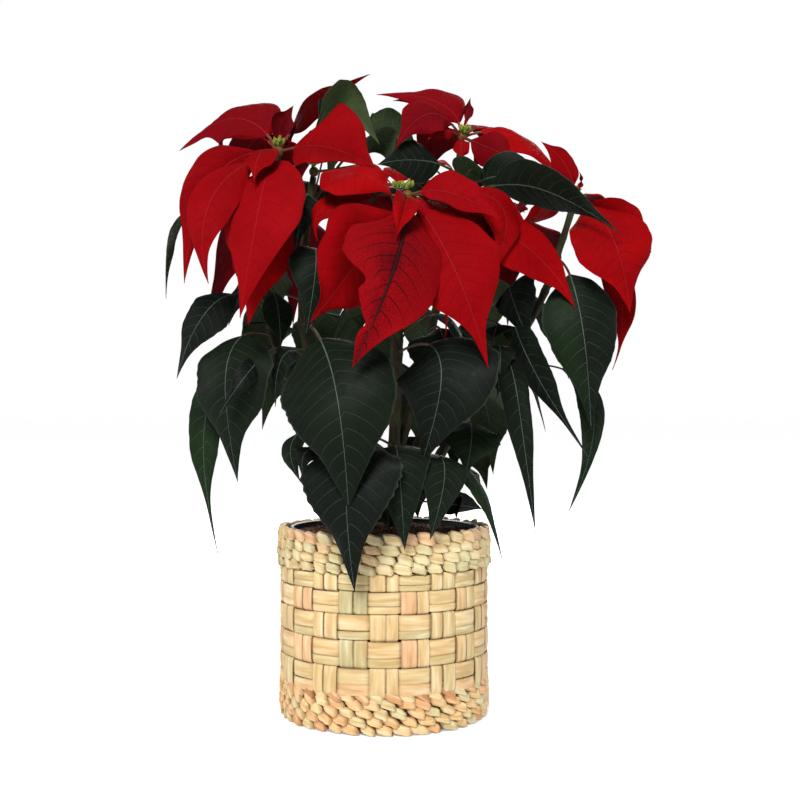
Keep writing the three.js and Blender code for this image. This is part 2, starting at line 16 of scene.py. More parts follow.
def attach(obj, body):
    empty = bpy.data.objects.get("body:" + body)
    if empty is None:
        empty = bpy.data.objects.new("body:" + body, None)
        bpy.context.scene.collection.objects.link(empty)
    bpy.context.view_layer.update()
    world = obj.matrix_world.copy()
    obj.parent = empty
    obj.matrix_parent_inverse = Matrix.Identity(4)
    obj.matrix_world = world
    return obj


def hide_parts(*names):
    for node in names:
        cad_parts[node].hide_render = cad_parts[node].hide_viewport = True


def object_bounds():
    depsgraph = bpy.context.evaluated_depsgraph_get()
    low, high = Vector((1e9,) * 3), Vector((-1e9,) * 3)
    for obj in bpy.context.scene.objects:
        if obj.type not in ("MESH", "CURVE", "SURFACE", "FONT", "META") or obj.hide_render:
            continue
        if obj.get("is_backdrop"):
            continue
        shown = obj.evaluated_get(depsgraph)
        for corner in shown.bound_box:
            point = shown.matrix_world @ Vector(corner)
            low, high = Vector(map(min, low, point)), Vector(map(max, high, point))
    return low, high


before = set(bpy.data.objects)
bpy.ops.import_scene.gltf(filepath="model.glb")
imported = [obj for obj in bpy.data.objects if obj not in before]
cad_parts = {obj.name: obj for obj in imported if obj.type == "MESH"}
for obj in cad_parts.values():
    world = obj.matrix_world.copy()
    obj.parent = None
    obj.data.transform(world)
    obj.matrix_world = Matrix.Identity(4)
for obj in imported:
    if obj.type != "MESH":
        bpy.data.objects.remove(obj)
CAD_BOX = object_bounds()
print("the frame has", len(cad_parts), "nodes inside", CAD_BOX)

# %% [markdown]
# ## Small helpers
# Everything below is measured in millimetres, as a grower or a basket maker would, and turned
# to metres where it becomes a mesh. Colours are written as the hex values that a paint chart
# gives. Blender mixes light in linear values, so one function turns them over.

# %% Units, colours and nodes
MM = 0.001
FULL_TURN = 6.28


def linear(hex_colour):
    """An sRGB hex colour as the linear red, green, blue and alpha that Blender works in."""
    channels = [int(hex_colour[i : i + 2], 16) / 255 for i in (1, 3, 5)]
    bent = [c / 12.92 if c <= 0.04045 else ((c + 0.055) / 1.055) ** 2.4 for c in channels]
    return (*bent, 1.0)


def fill(tree, node, inputs):
    """Fills a node's inputs, by name or in order, with values, outputs or other nodes."""
    if not isinstance(inputs, dict):
        inputs = dict(zip([i for i, socket in enumerate(node.inputs) if socket.enabled], inputs))
    for name, value in inputs.items():
        if isinstance(value, bpy.types.Node):
            value = next(socket for socket in value.outputs if socket.enabled)
        if isinstance(value, bpy.types.NodeSocket):
            tree.links.new(value, node.inputs[name])
        else:
            node.inputs[name].default_value = value


def add_node(tree, kind, inputs=(), **settings):
    """Adds a node with its settings and fills its inputs."""
    node = tree.nodes.new("ShaderNode" + kind)
    for name, value in settings.items():
        setattr(node, name, value)
    fill(tree, node, inputs)
    return node


def new_material(name):
    """A node material, its tree, and the principled shader that stands in it from the start."""
    material = bpy.data.materials.new(name)
    material.use_nodes = True
    return material, material.node_tree, material.node_tree.nodes["Principled BSDF"]


print("scarlet in linear values is", [round(c, 3) for c in linear("#b80a12")])

# %% Selecting and settling pieces
def deselect_all():
    """Nothing selected, so that the next operator acts only on what is chosen for it."""
    for thing in bpy.context.selected_objects:
        thing.select_set(False)


def choose(*things):
    """Selects these objects alone and makes the first the active one."""
    deselect_all()
    for thing in things:
        thing.select_set(True)
    bpy.context.view_layer.objects.active = things[0]


def settle(name, finish=None):
    """Names the piece just added, puts its place and size into its mesh, and paints it."""
    piece = bpy.context.object
    piece.name = name
    bpy.ops.object.transform_apply(location=True, rotation=True, scale=True)
    if finish:
        piece.data.materials.append(finish)
    return piece


# %% [markdown]
# ## Studio
# A product studio sets the plant on a white sweep. One big soft box high in front, a little to
# the left, gives the bracts their form. Weaker ones at both sides and behind open the shadows
# all round, and a light above keeps the table white. The camera looks level at the middle of
# the plant through a long lens.

# %% Camera
CAMERA_PLACE = (0.0, -1.150, 0.285)
bpy.ops.object.camera_add(location=CAMERA_PLACE, rotation=(math.radians(90), 0, 0))
camera = bpy.context.object
camera.data.lens = 54
camera.data.sensor_width = 36
camera.data.shift_x = 0.02
camera.data.shift_y = 0.015
camera.data.clip_end = 50
bpy.context.scene.camera = camera
print("camera at", CAMERA_PLACE, "with a lens of", camera.data.lens, "mm")

# %% Floor and daylight
WHITE = (1, 1, 1, 1)
ROOM_LIGHT = 0.1
# The sheet glows to the camera: from these distances in metres, with these strengths.
GLOW_REACH = (0.12, 0.7)
FLOOR_GLOW = (0.34, 0.9)
deselect_all()
bpy.ops.mesh.primitive_circle_add(vertices=96, radius=60, fill_type="NGON", location=(0, 0, -0.0005))
floor = bpy.context.object
floor.name = "studio_floor"
white_paper, tree, paper = new_material("matt white paper")
where = add_node(tree, "TexCoord")
away = add_node(tree, "VectorMath", [where.outputs["Object"]], operation="LENGTH")
glow = add_node(tree, "MapRange", [away, *GLOW_REACH, *FLOOR_GLOW], interpolation_type="SMOOTHSTEP")
path = add_node(tree, "LightPath")
seen = add_node(tree, "Math", [glow, path.outputs["Is Camera Ray"]], operation="MULTIPLY")
fill(tree, paper, {"Base Color": linear("#f4f5f7"), "Roughness": 0.9, "Specular IOR Level": 0.1})
fill(tree, paper, {"Emission Color": WHITE, "Emission Strength": seen})
floor.data.materials.append(white_paper)
floor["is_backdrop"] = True

world = bpy.data.worlds.new("white studio")
bpy.context.scene.world = world
world.use_nodes = True
tree = world.node_tree
tree.nodes.clear()
room, backdrop = (add_node(tree, "Background", [WHITE, light]) for light in (ROOM_LIGHT, 1))
path = add_node(tree, "LightPath")
seen = add_node(tree, "MixShader", [path.outputs["Is Camera Ray"], room, backdrop])
add_node(tree, "OutputWorld", [seen])
bpy.context.scene.view_settings.view_transform = "Standard"
print("floor", floor.name, "and a white world")

# %% Soft boxes: place and size in metres, power in watts
AIM = Vector((0, 0, 0.3))
SOFT_BOXES = {
    "key_front": ((-0.4, -2.0, 1.75), 0.8, 70),
    "fill_left": ((-2.1, 0.2, 0.8), 1.2, 12),
    "fill_right": ((2.1, -0.1, 0.8), 1.2, 12),
    "top": ((0.2, 0.3, 2.2), 1.2, 6),
    "back": ((0.4, 2.2, 1.3), 1.4, 42),
}
for name, (place, size, watts) in SOFT_BOXES.items():
    bpy.ops.object.light_add(type="AREA", location=place)
    lamp = bpy.context.object
    lamp.name = name
    lamp.data.size = size
    lamp.data.energy = watts
    lamp.rotation_euler = (AIM - Vector(place)).to_track_quat("-Z", "Y").to_euler()
print(len(SOFT_BOXES), "soft boxes")

# %% [markdown]
# ## Stems
# A poinsettia's stem is green when young and turns brown and corky from the foot, with a ring
# scar where each leaf sits. A tube along a smooth line says all of this: a Bezier or poly curve
# with a round bevel takes a radius at every point, so the same tool draws the thick main stem,
# its branches and, later, each leaf's stalk. The lines are the ones that the CAD stems follow,
# a spline that goes through each point evenly.

# %% Lines of the stems, and their radii at the foot and the top
STEMS = {
    "front": ([[6, 4, 110], [8, 2, 200], [12, -14, 320], [15, -55, 410], [20, -90, 472]], [7, 3.6]),
    "near": ([[4, -5, 238], [-45, -12, 290], [-74, -22, 352], [-74, -38, 430], [-65, -47, 501]], [4.6, 3]),
    "left": ([[4, 3, 180], [-70, 18, 280], [-110, 30, 364], [-114, 10, 440], [-100, -19, 526]], [4.8, 3]),
    "top": ([[11, 3, 236], [38, 25, 330], [62, 34, 440], [76, 28, 551]], [5, 3]),
    "right": ([[12, 2, 182], [85, 10, 290], [150, 8, 390], [168, 2, 440], [182, -4, 486]], [5, 3]),
    "backLeft": ([[6, 4, 224], [-40, 75, 290], [-75, 115, 390], [-86, 127, 480]], [4.6, 3]),
    "backRight": ([[11, 6, 212], [60, 70, 300], [105, 100, 390], [119, 114, 472]], [4.6, 3]),
    "back": ([[9, 1, 256], [10, 70, 330], [14, 128, 430], [15, 152, 518]], [4.4, 3]),
}
HUB_RADIUS = 4.5
GAP = 0.3
DIVISIONS = 200


def spline_point(path, share):
    """A point of the smooth line through a path, at a share of the path's points."""
    path = np.array(path, float)
    last = len(path) - 1
    place = min(share * last, last)
    first = min(int(place), last - 1)
    before = path[first - 1] if first > 0 else 2 * path[0] - path[1]
    start, end = path[first], path[first + 1]
    after = path[first + 2] if first + 2 <= last else 2 * path[last] - path[last - 1]
    gap0, gap1, gap2 = (
        np.sum((b - a) ** 2) ** 0.25 for a, b in ((before, start), (start, end), (end, after))
    )
    leave = (start - before) / gap0 - (end - before) / (gap0 + gap1) + (end - start) / gap1
    reach = (end - start) / gap1 - (after - start) / (gap1 + gap2) + (after - end) / gap2
    leave, reach = leave * gap1, reach * gap1
    t = place - first
    bend = -3 * start + 3 * end - 2 * leave - reach
    twist = 2 * start - 2 * end + leave + reach
    return start + leave * t + bend * t**2 + twist * t**3


def length_along(points):
    """The length that a line of points has run up by each of them."""
    return np.concatenate([[0], np.cumsum(np.linalg.norm(np.diff(points, axis=0), axis=1))])


stem_runs = {}
for key, (path, _) in STEMS.items():
    dense = [spline_point(path, i / DIVISIONS) for i in range(DIVISIONS + 1)]
    stem_runs[key] = length_along(dense)
print("the main stem is", round(stem_runs["front"][-1]), "mm long")


def stem_at(key, share):
    """The point at a share of a stem's length."""
    run = stem_runs[key]
    place = np.interp(share * run[-1], run, np.arange(DIVISIONS + 1)) / DIVISIONS
    return spline_point(STEMS[key][0], place)


def unit(vectors):
    """Vectors of the same direction, one unit long."""
    return vectors / np.linalg.norm(vectors, axis=-1, keepdims=True)


def hub_of(key):
    """The middle of the small knob off the end of a stem, where the bracts' stalks meet."""
    path = STEMS[key][0]
    end = spline_point(path, 1)
    return end + unit(end - spline_point(path, 0.9999)) * (HUB_RADIUS + GAP)


# %% [markdown]
# ## Leaf and bract tables
# Each leaf grows from a share of its stem's length, and its midrib is one arc from its foot
# through a middle point to its tip. After these come the blade's width, and the roll and fold
# that turn it and crease it along the midrib. Bracts start at the hub, so their rows have no
# share. On the far side of the plant both kinds stand around in even turns.

# %% Leaves by stem: share, middle, tip, width and roll
LEAVES = {
    "front": [
        [0.37, [-28, -122, 246], [-25, -126, 132], 92, -1], [0.29, [11, -108, 252], [18, -112, 166], 58],
        [0.26, [50, -92, 246], [40, -106, 174], 56], [0.25, [71, -46, 233], [109, -46, 147], 50, -16],
        [0.61, [48, -115, 330], [32, -107, 238], 102, 41], [0.27, [-56, -92, 254], [-70, -96, 224], 30],
        [0.22, [34, 56, 259], [42, 55, 210], 43, 12], [0.28, [66, 40, 272], [84, 62, 225], 44],
        [0.22, [58, 30, 218], [72, 48, 178], 54], [0.24, [26, 45, 219], [34, 58, 178], 58, 1],
        [0.7, [-30, -20, 385], [-48, -10, 340], 50], [0.64, [58, -41, 374], [80, -31, 320], 53, -9],
        [0.24, [65, 36, 194], [99, 64, 187], 27, 47], [0.22, [61, 65, 263], [71, 66, 222], 55, -1],
    ],
    "near": [
        [0.54, [-44, -140, 319], [-30, -139, 203], 104, 20], [0.72, [-60, -90, 424], [-70, -80, 352], 48],
        [0.4, [-91, -50, 338], [-100, -44, 290], 28], [0.93, [-50, -4, 580], [-4, 0, 541], 48, -35],
        [0.8, [-74, 12, 508], [-84, 20, 455], 52], [0.9, [-15, 22, 552], [9, 32, 520], 43, -19],
        [0.55, [-48, 20, 376], [-42, 24, 332], 50], [0.86, [-52, 14, 572], [-70, 7, 546], 40, 4],
        [0.92, [-71, -71, 476], [-80, -70, 429], 34, -5],
    ],
    "left": [
        [0.55, [-143, -39, 335], [-137, -27, 220], 91, 3],
        [0.48, [-167, 5, 298], [-160, 8, 147], 34, -70],
        [0.62, [-160, -12, 389], [-197, -8, 317], 50, -15], [0.9, [-57, 21, 552], [-58, 77, 509], 38, 14],
        [0.52, [-118, -55, 328], [-150, -62, 282], 20], [0.75, [-197, 50, 484], [-219, 56, 399], 44, -20],
        [0.3, [-84, -56, 256], [-76, -60, 222], 22], [0.7, [-100, -24, 384], [-97, -30, 344], 30],
        [0.55, [-116, 44, 372], [-122, 60, 330], 56], [0.8, [-104, 30, 425], [-110, 44, 385], 50],
        [0.62, [-134, 12, 408], [-151, 16, 369], 54, -6],
    ],
    "top": [
        [0.9, [38, 0, 526], [-6, -20, 518], 44, -35], [0.82, [131, -59, 490], [208, -91, 443], 53, 83],
        [0.86, [8, 36, 562], [-10, 36, 580], 38, -60], [0.42, [56, -24, 352], [60, -34, 280], 70],
        [0.84, [110, -12, 509], [150, -14, 500], 44, 48], [0.78, [84, 5, 519], [98, 3, 498], 48, -52],
    ],
    "right": [
        [0.64, [128, -42, 345], [190, -48, 240], 35, 21],
        [0.5, [117, -67, 314], [137, -65, 175], 32, -19], [0.84, [177, -58, 382], [192, -38, 268], 70, 4],
        [0.5, [196, 1, 305], [174, -12, 188], 28, 62], [0.33, [80, -55, 268], [74, -60, 228], 56],
        [0.4, [104, -58, 345], [103, -60, 298], 32], [0.66, [118, -24, 402], [140, -30, 340], 54, 20],
        [0.22, [87, 40, 249], [103, 52, 208], 39, -3], [0.5, [80, 20, 372], [92, 20, 330], 46],
        [0.45, [112, 30, 370], [122, 34, 326], 48],
    ],
    "back": [
        [0.17, [31, 81, 300], [39, 76, 240], 50, 3], [0.93, [28, 92, 522], [50, 66, 494], 56],
        [0.9, [2, 100, 520], [-14, 70, 496], 46],
    ],
}

# %% Rings of leaves: shares of the stem, then facing, spread, reach, lift, drop and width
LEAF_RINGS = {
    "front": ([0.215, 0.235, 0.225], 88, -50, 122, 36, 4, 62),
    "left": ([0.42], 176, 24, 76, 8, 66, 54),
    "right": ([0.36, 0.57, 0.74], 70, 30, 80, 8, 66, 54),
    "backLeft": ([0.42, 0.52, 0.62, 0.72, 0.84], 118, 22, 84, 9, 70, 62),
    "backRight": ([0.42, 0.53, 0.64, 0.73, 0.82], 36, -26, 88, 9, 72, 62),
    "back": ([0.3, 0.44, 0.56, 0.68], 88, 18, 84, 9, 78, 58),
}

# %% Bracts by bloom: middle, tip, width, roll and, where it isn't the usual one, fold
BRACTS = {
    "front": [
        [[10, -158, 411], [-26, -160, 322], 92, 0, -8], [[-21, -118, 415], [-63, -132, 361], 100, -23],
        [[-48, -92, 468], [-58, -92, 435], 26, -56], [[57, -135, 412], [89, -128, 322], 84, 12],
        [[50, -106, 418], [53, -104, 348], 50], [[60, -112, 474], [101, -114, 450], 45, 12, 14],
        [[102, -84, 469], [87, -95, 394], 53, 52], [[122, -68, 438], [173, -60, 380], 58, 74],
        [[102, -54, 478], [132, -58, 446], 34, 60], [[17, -139, 456], [9, -158, 428], 28, 0, 34],
        [[34, -108, 463], [44, -116, 444], 24],
    ],
    "near": [
        [[-22, -89, 496], [7, -98, 475], 80, -19],
    ],
    "left": [
        [[-141, 2, 566], [-197, 7, 537], 104, -55], [[-155, -66, 494], [-183, -50, 403], 46, -50],
        [[-109, -108, 462], [-124, -116, 366], 82, 28], [[-110, -80, 515], [-114, -98, 487], 30],
        [[-51, -46, 528], [-8, -76, 504], 84, 66, 16], [[-66, 30, 589], [-14, 44, 621], 46, 32],
        [[-99, -1, 556], [-88, 17, 583], 30, -30], [[-151, -98, 472], [-153, -104, 397], 46, -25],
        [[-108, -76, 440], [-122, -72, 363], 60],
    ],
    "top": [
        [[54, 28, 589], [-7, 22, 595], 59, -51], [[42, -2, 570], [11, -16, 534], 48, -40],
        [[81, 33, 579], [85, 30, 594], 15, -70, 20], [[54, 4, 556], [42, -6, 544], 22, -40],
        [[74, 0, 539], [74, -6, 525], 17], [[103, 0, 537], [125, -10, 526], 36, -20],
        [[133, 27, 553], [175, 22, 503], 50, 42], [[44, 38, 588], [9, 34, 592], 30, -60],
        [[106, 40, 532], [128, 36, 478], 56, 60],
    ],
    "right": [
        [[172, -9, 520], [149, -13, 541], 29, -68], [[216, -40, 457], [246, -46, 432], 50, 40],
        [[205, -74, 440], [221, -72, 374], 76], [[221, -24, 402], [216, -15, 325], 29, 64],
        [[151, -25, 472], [125, -32, 459], 44, -60], [[188, -8, 503], [186, -9, 513], 8],
    ],
}

# %% Rings of bracts: count, facing, spread, reach, lift, drop and width
BRACT_RINGS = {
    "left": [(2, 105, 50, 64, 14, 44, 50)],
    "top": [(2, 78, 56, 84, 14, 30, 54)],
    "right": [(1, 35, 0, 56, -6, 66, 44)],
    "backLeft": [(4, 168, 46, 114, 4, 98, 74), (3, 140, 84, 56, 32, -26, 36)],
    "backRight": [(4, 90, 34, 98, 4, 96, 74), (3, 50, 80, 56, 32, -26, 36)],
    "back": [(3, 88, 44, 92, 6, 72, 64), (3, 84, 84, 54, 32, -26, 36)],
}
SHINGLE = 17
USUAL_FOLD = {"leaf": -12, "bract": -10}
STALK_SINK = 1.3

# %% Rows of one stem's leaves and bracts
def hanging_row(foot, facing, reach, lift, drop, width, place):
    """A blade that leaves its foot in a compass direction, rises a little and then hangs."""
    angle = math.radians(facing + 7 * math.sin(place * 2.3))
    length = reach * (1 + 0.12 * math.sin(place * 1.7 + 1))
    x, y = math.cos(angle), math.sin(angle)
    middle = [foot[0] + 0.62 * length * x, foot[1] + 0.62 * length * y, foot[2] + lift]
    tip = [foot[0] + length * x, foot[1] + length * y, foot[2] - drop]
    return [middle, tip, width * (1 + 0.1 * math.cos(place * 2.9)), SHINGLE, USUAL_FOLD["bract"]]


def leaf_rows(key):
    """The leaves of a stem, each with its foot first: those of the table, then the ring."""
    rows = [(stem_at(key, share), *row) for share, *row in LEAVES.get(key, [])]
    shares, facing, spread, *shape = LEAF_RINGS.get(key, ([], 0, 0))
    for place, share in enumerate(shares):
        turn = spread * ((place + 1) / 2 if place % 2 else -place / 2)
        foot = stem_at(key, share)
        rows.append((foot, *hanging_row(foot, facing + turn, *shape, place)))
    return rows


def bract_rows(key):
    """The bracts of a bloom, each with its foot in the side of the hub that faces it."""
    hub = hub_of(key)
    rows = list(BRACTS.get(key, []))
    for count, facing, spread, *shape in BRACT_RINGS.get(key, []):
        for place in range(count):
            turn = facing + spread * (place - (count - 1) / 2)
            rows.append(hanging_row(hub, turn, *shape, place))
    sunk = HUB_RADIUS - STALK_SINK
    return [(hub + unit(np.array(row[0], float) - hub) * sunk, *row) for row in rows]


def blades_of(kind, key):
    """Every leaf or bract of a stem, as named values in one list."""
    rows = leaf_rows(key) if kind == "leaf" else bract_rows(key)
    usual = {"kind": kind, "roll": 0, "fold": USUAL_FOLD[kind]}
    names = ("foot", "middle", "tip", "width", "roll", "fold")
    return [{**usual, **dict(zip(names, row)), "name": f"{kind} {key} {i}"} for i, row in enumerate(rows)]


print("leaves:", sum(len(blades_of("leaf", key)) for key in STEMS))
print("bracts:", sum(len(blades_of("bract", key)) for key in STEMS))

# %% [markdown]
# ## The shape of one blade
# A poinsettia blade is a thin sheet, widest a third of the way up and drawn out to a point. Its
# side veins leave the midrib at regular steps, curve forward and sink into the sheet, so the
# tissue between them swells like quilting. The margin waves, and on leaves it carries a few
# blunt teeth where veins end. The sheet is a subdivided grid. Laying it on the midrib's arc
# by hand would take a lattice and many modifiers for each blade, so its points are moved by the
# same formulas that shape the CAD blades, with the finer forms added.

# %% Form of the blades
STALK_SHARE = {"leaf": 0.28, "bract": 0.12}
WIDENING = {"leaf": 0.7, "bract": 0.95}
WIDEST = 0.38
MARGIN_WAVE = 2.0
WAVE_STATIONS = {"wide": [0.12, 0.3, 0.5, 0.7, 0.87], "narrow": [0.15, 0.4, 0.72]}
NARROW = 63
VEIN_SPACING = {"leaf": 10.5, "bract": 11.5}
VEIN_SLANT = 0.62
QUILTING = 0.011
# Soft folds: depth as a share of the width, radians along and across, and their phase.
SOFT_FOLDS = {
    "leaf": [(0.018, 7.0, 1.5, 4), (0.01, 13.0, -2.5, 5)],
    "bract": [(0.036, 6.0, 2.2, 4), (0.018, 11.0, -3.5, 5)],
}
ARCHING = {"leaf": 0.05, "bract": 0.07}
# Ripples of the margin: depth as a share of the half width, radians along, and their phase.
MARGIN_RIPPLES = [(0.014, 17, 0), (0.009, 39, 1)]
SWAY = 0.01

# %% Midrib and outline
def midrib_at(blade, share):
    """Points along a blade's midrib from foot to tip, and the side and upper directions there."""
    foot, middle, tip = (np.array(blade[name], float) for name in ("foot", "middle", "tip"))
    knee = 2 * middle - 0.5 * foot - 0.5 * tip
    t = np.asarray(share, float)[..., None]
    points = (1 - t) ** 2 * foot + 2 * t * (1 - t) * knee + t**2 * tip
    along = unit(2 * (1 - t) * (knee - foot) + 2 * t * (tip - knee))
    flat_side = unit(np.cross(knee - foot, tip - knee))
    flat_up = unit(np.cross(along, flat_side))
    roll = math.radians(blade["roll"])
    side = flat_side * math.cos(roll) + flat_up * math.sin(roll)
    return points, side, unit(np.cross(along, side))


def outline(share, widening):
    """Half the width at a share of the blade, against the greatest half width."""
    opening = np.sin(np.pi / 2 * np.clip(share / WIDEST, 0, 1)) ** widening
    past = np.clip((share - WIDEST) / (1 - WIDEST), 0, 1)
    return np.where(share < WIDEST, opening, (1 - past**1.75) * (1 - 0.3 * past**3))


def drawn_out(share, amount):
    """How much narrower a blade is than its plain outline where its tip is drawn out."""
    past = np.clip((share - 0.6) / 0.26, 0, 1)
    return 1 - amount * past**2 * (3 - 2 * past)


def blade_length(blade):
    """The length of the blade along its midrib, without its stalk."""
    points = midrib_at(blade, np.linspace(STALK_SHARE[blade["kind"]], 1, 30))[0]
    return length_along(points)[-1]


def ripples_of(blade):
    """Six phases of waves that are this blade's own, and the chance that goes on from them."""
    chance = random.Random(blade["name"])
    return [chance.uniform(0, FULL_TURN) for _ in range(6)], chance


def sway(blade, along, ripple):
    """How far the midrib itself rises and sinks along the blade."""
    return SWAY * blade_length(blade) * np.sin(5.2 * along + ripple[3]) * np.sin(np.pi * along)


# %% Finer forms of single blades
# Lobes are (side, share, height, sharpness). A turned blade shows its upper side the other way.
CHARACTER = {
    "bract front 0": dict(dark=1.0, crimson=0.45, teeth=0.03, drawn=0.35, lobes=[
        (-1, 0.14, -0.45, 90), (-1, 0.6, -0.5, 260), (-1, 0.74, -0.33, 120),
        (-1, 0.81, -0.45, 700), (1, 0.2, -0.08, 60), (1, 0.78, 0.35, 40),
    ]),
    "bract front 1": dict(drawn=0.55, lobes=[(-1, 0.35, 0.08, 80), (-1, 0.48, -0.06, 300)]),
    "bract front 3": dict(drawn=0.62, lobes=[
        (1, 0.1, 0.16, 300), (1, 0.16, -0.1, 900), (1, 0.46, 0.1, 160), (-1, 0.6, -0.12, 60),
    ]),
    "bract front 4": dict(drawn=0.7),
    "bract left 0": dict(crimson=0.9),
    "bract left 1": dict(crimson=0.35),
    "bract left 2": dict(lobes=[(-1, 0.18, 0.08, 90), (1, 0.5, 0.05, 160)]),
    "bract left 5": dict(crimson=0.2, turned=True),
    "bract top 0": dict(crimson=0.8, lobes=[(1, 0.24, 0.45, 50)]),
    "bract top 1": dict(crimson=0.9, dark=0.3),
    "bract top 5": dict(crimson=0.9, dark=0.3),
    "bract right 3": dict(drawn=0.75),
    "leaf front 0": dict(teeth=0.06),
    "leaf front 1": dict(drawn=0.02),
    "leaf front 2": dict(drawn=0.02),
    "leaf front 3": dict(green=0.55, teeth=0.05),
    "leaf near 0": dict(drawn=0.15),
    "leaf near 3": dict(green=0.9),
    "leaf left 1": dict(green=0.45, teeth=0.04, drawn=0.7),
    "leaf top 1": dict(drawn=0.5),
    "leaf right 0": dict(drawn=0.65),
    "leaf right 2": dict(green=0.1, green_left=0.4),
    "leaf right 3": dict(green=0.3),
    "leaf right 4": dict(green=0.5, teeth=0.06),
}
USUAL_CHARACTER = {
    "leaf": dict(teeth=0.03, drawn=0.3, lobes=[], dark=0.0, turned=False),
    "bract": dict(teeth=0.008, drawn=0.4, lobes=[], dark=0.0, turned=False),
}


def character_of(blade):
    """The finish of one blade: what its kind always has, then what is its own."""
    return {**USUAL_CHARACTER[blade["kind"]], **CHARACTER.get(blade["name"], {})}


def veins_at(blade, along, across, half):
    """How many side veins lie between a point and the blade's foot; a vein is at each integer."""
    length = blade_length(blade)
    count = np.clip(round(length / VEIN_SPACING[blade["kind"]]), 4, 12)
    reach = np.abs(across)
    bowed = 0.55 * reach + 0.55 * reach**2
    swept = along - VEIN_SLANT * bowed * half / length - 0.03 * reach**2
    return count * swept + 0.42 * (across > 0)


# %% Laying a flat sheet on a blade
def lay_blade(blade, along, across, ripple):
    """Where points of a sheet go, with their vein count, their place on the skin and their side."""
    nature = character_of(blade)
    kind, width = blade["kind"], blade["width"]
    stalk = STALK_SHARE[kind]
    points, side, up = midrib_at(blade, stalk + (1 - stalk) * along)
    screen_side = np.where(side[:, 0] * across < 0, -1, 1)
    half = width / 2 * outline(along, WIDENING[kind]) * drawn_out(along, nature["drawn"])
    veins = veins_at(blade, along, across, half)
    tooth = np.abs(2 * (veins % 1) - 1) ** 1.5 - 0.4
    margin = 1 + nature["teeth"] * tooth * np.sin(np.pi * along) ** 0.5
    hand = np.where(across < 0, 0.0, 1.9)
    for deep, lengthwise, phase in MARGIN_RIPPLES:
        margin += deep * np.sin(lengthwise * along + ripple[phase] + hand)
    for lobe_side, place, height, sharpness in nature["lobes"]:
        margin += height * np.exp(-sharpness * (along - place) ** 2) * (screen_side == lobe_side)
    half = np.maximum(half * margin, np.where(along > 0.5, 0.25, 1.0))
    reach = np.abs(across)
    stations = WAVE_STATIONS["narrow" if width < NARROW else "wide"]
    step = np.interp(along, stations, np.arange(len(stations)))
    wave = MARGIN_WAVE * np.sin(step * 2.4 + np.sign(across) * 1.7 + width)
    wave += 0.016 * width * np.sin(21 * along + ripple[2] + hand)
    swell = np.abs(np.sin(np.pi * veins)) ** 0.8 * reach**0.6 * (1 - reach**5)
    fold = math.radians(blade["fold"])
    taper = np.clip(half / (0.25 * width + 0.1), 0, 1)
    rise = half * reach * math.sin(fold) + wave * reach**1.8 * taper
    rise += ARCHING[kind] * half * 4 * (reach - reach**2)
    rise += QUILTING * width * swell * taper + sway(blade, along, ripple)
    for deep, lengthwise, crosswise, phase in SOFT_FOLDS[kind]:
        crease = np.sin(lengthwise * along + crosswise * across + ripple[phase] + hand)
        rise += deep * width * crease * reach * taper
    out = across * half * math.cos(fold)
    placed = points + side * out[:, None] + up * rise[:, None]
    skin = np.stack([along * blade_length(blade), out], axis=1) / 10
    return placed, veins, skin, screen_side


print("a blade of the near stem is", round(blade_length(blades_of("leaf", "near")[0])), "mm long")

# %% Points, UV maps and tones of a mesh
def own_copy(pattern):
    """A copy of an object that has its own mesh."""
    twin = pattern.copy()
    twin.data = pattern.data.copy()
    bpy.context.scene.collection.objects.link(twin)
    return twin


def points_of(mesh):
    """The points of a mesh as rows of x, y and z."""
    flat = np.zeros(len(mesh.vertices) * 3)
    mesh.vertices.foreach_get("co", flat)
    return flat.reshape(-1, 3)


def put_uv(mesh, layer, per_point):
    """Writes a UV value for each point into a layer, which keeps one for each face corner."""
    corners = np.zeros(len(mesh.loops), np.int32)
    mesh.loops.foreach_get("vertex_index", corners)
    mesh.uv_layers[layer].data.foreach_set("uv", per_point[corners].astype(np.float32).ravel())


def put_points(mesh, layer, places, skin):
    """Moves the points to places in millimetres, and lays one UV map over them."""
    mesh.vertices.foreach_set("co", (places * MM).astype(np.float32).ravel())
    put_uv(mesh, layer, skin)


def add_layers(piece, layer):
    """Names the UV map that came with a primitive, and adds a tone for every point."""
    piece.data.uv_layers[0].name = layer
    piece.data.attributes.new("tone", "FLOAT_COLOR", "POINT")
    return piece


def paint_tone(mesh, *channels):
    """Fills the four channels of the tone, each with one value or a value for every point."""
    tone = np.ones((len(mesh.vertices), 4), np.float32)
    for i, channel in enumerate(channels):
        tone[:, i] = channel
    mesh.attributes["tone"].data.foreach_set("color", tone.ravel())


# %% The two flat sheets
NARROW_SHEET_UNDER = 40
AGEING = {"leaf": 0.2, "bract": 0.5}


def flat_sheet(name, rows, columns):
    """A grid two units square, with a place for its veins, its skin and its tone."""
    deselect_all()
    bpy.ops.mesh.primitive_grid_add(x_subdivisions=columns, y_subdivisions=rows, size=2)
    sheet = add_layers(settle(name), "veins")
    sheet.data.uv_layers.new(name="skin")
    return sheet


wide_sheet = flat_sheet("wide_sheet", 58, 22)
narrow_sheet = flat_sheet("narrow_sheet", 38, 14)
print("sheets of", len(wide_sheet.data.polygons), "and", len(narrow_sheet.data.polygons), "faces")


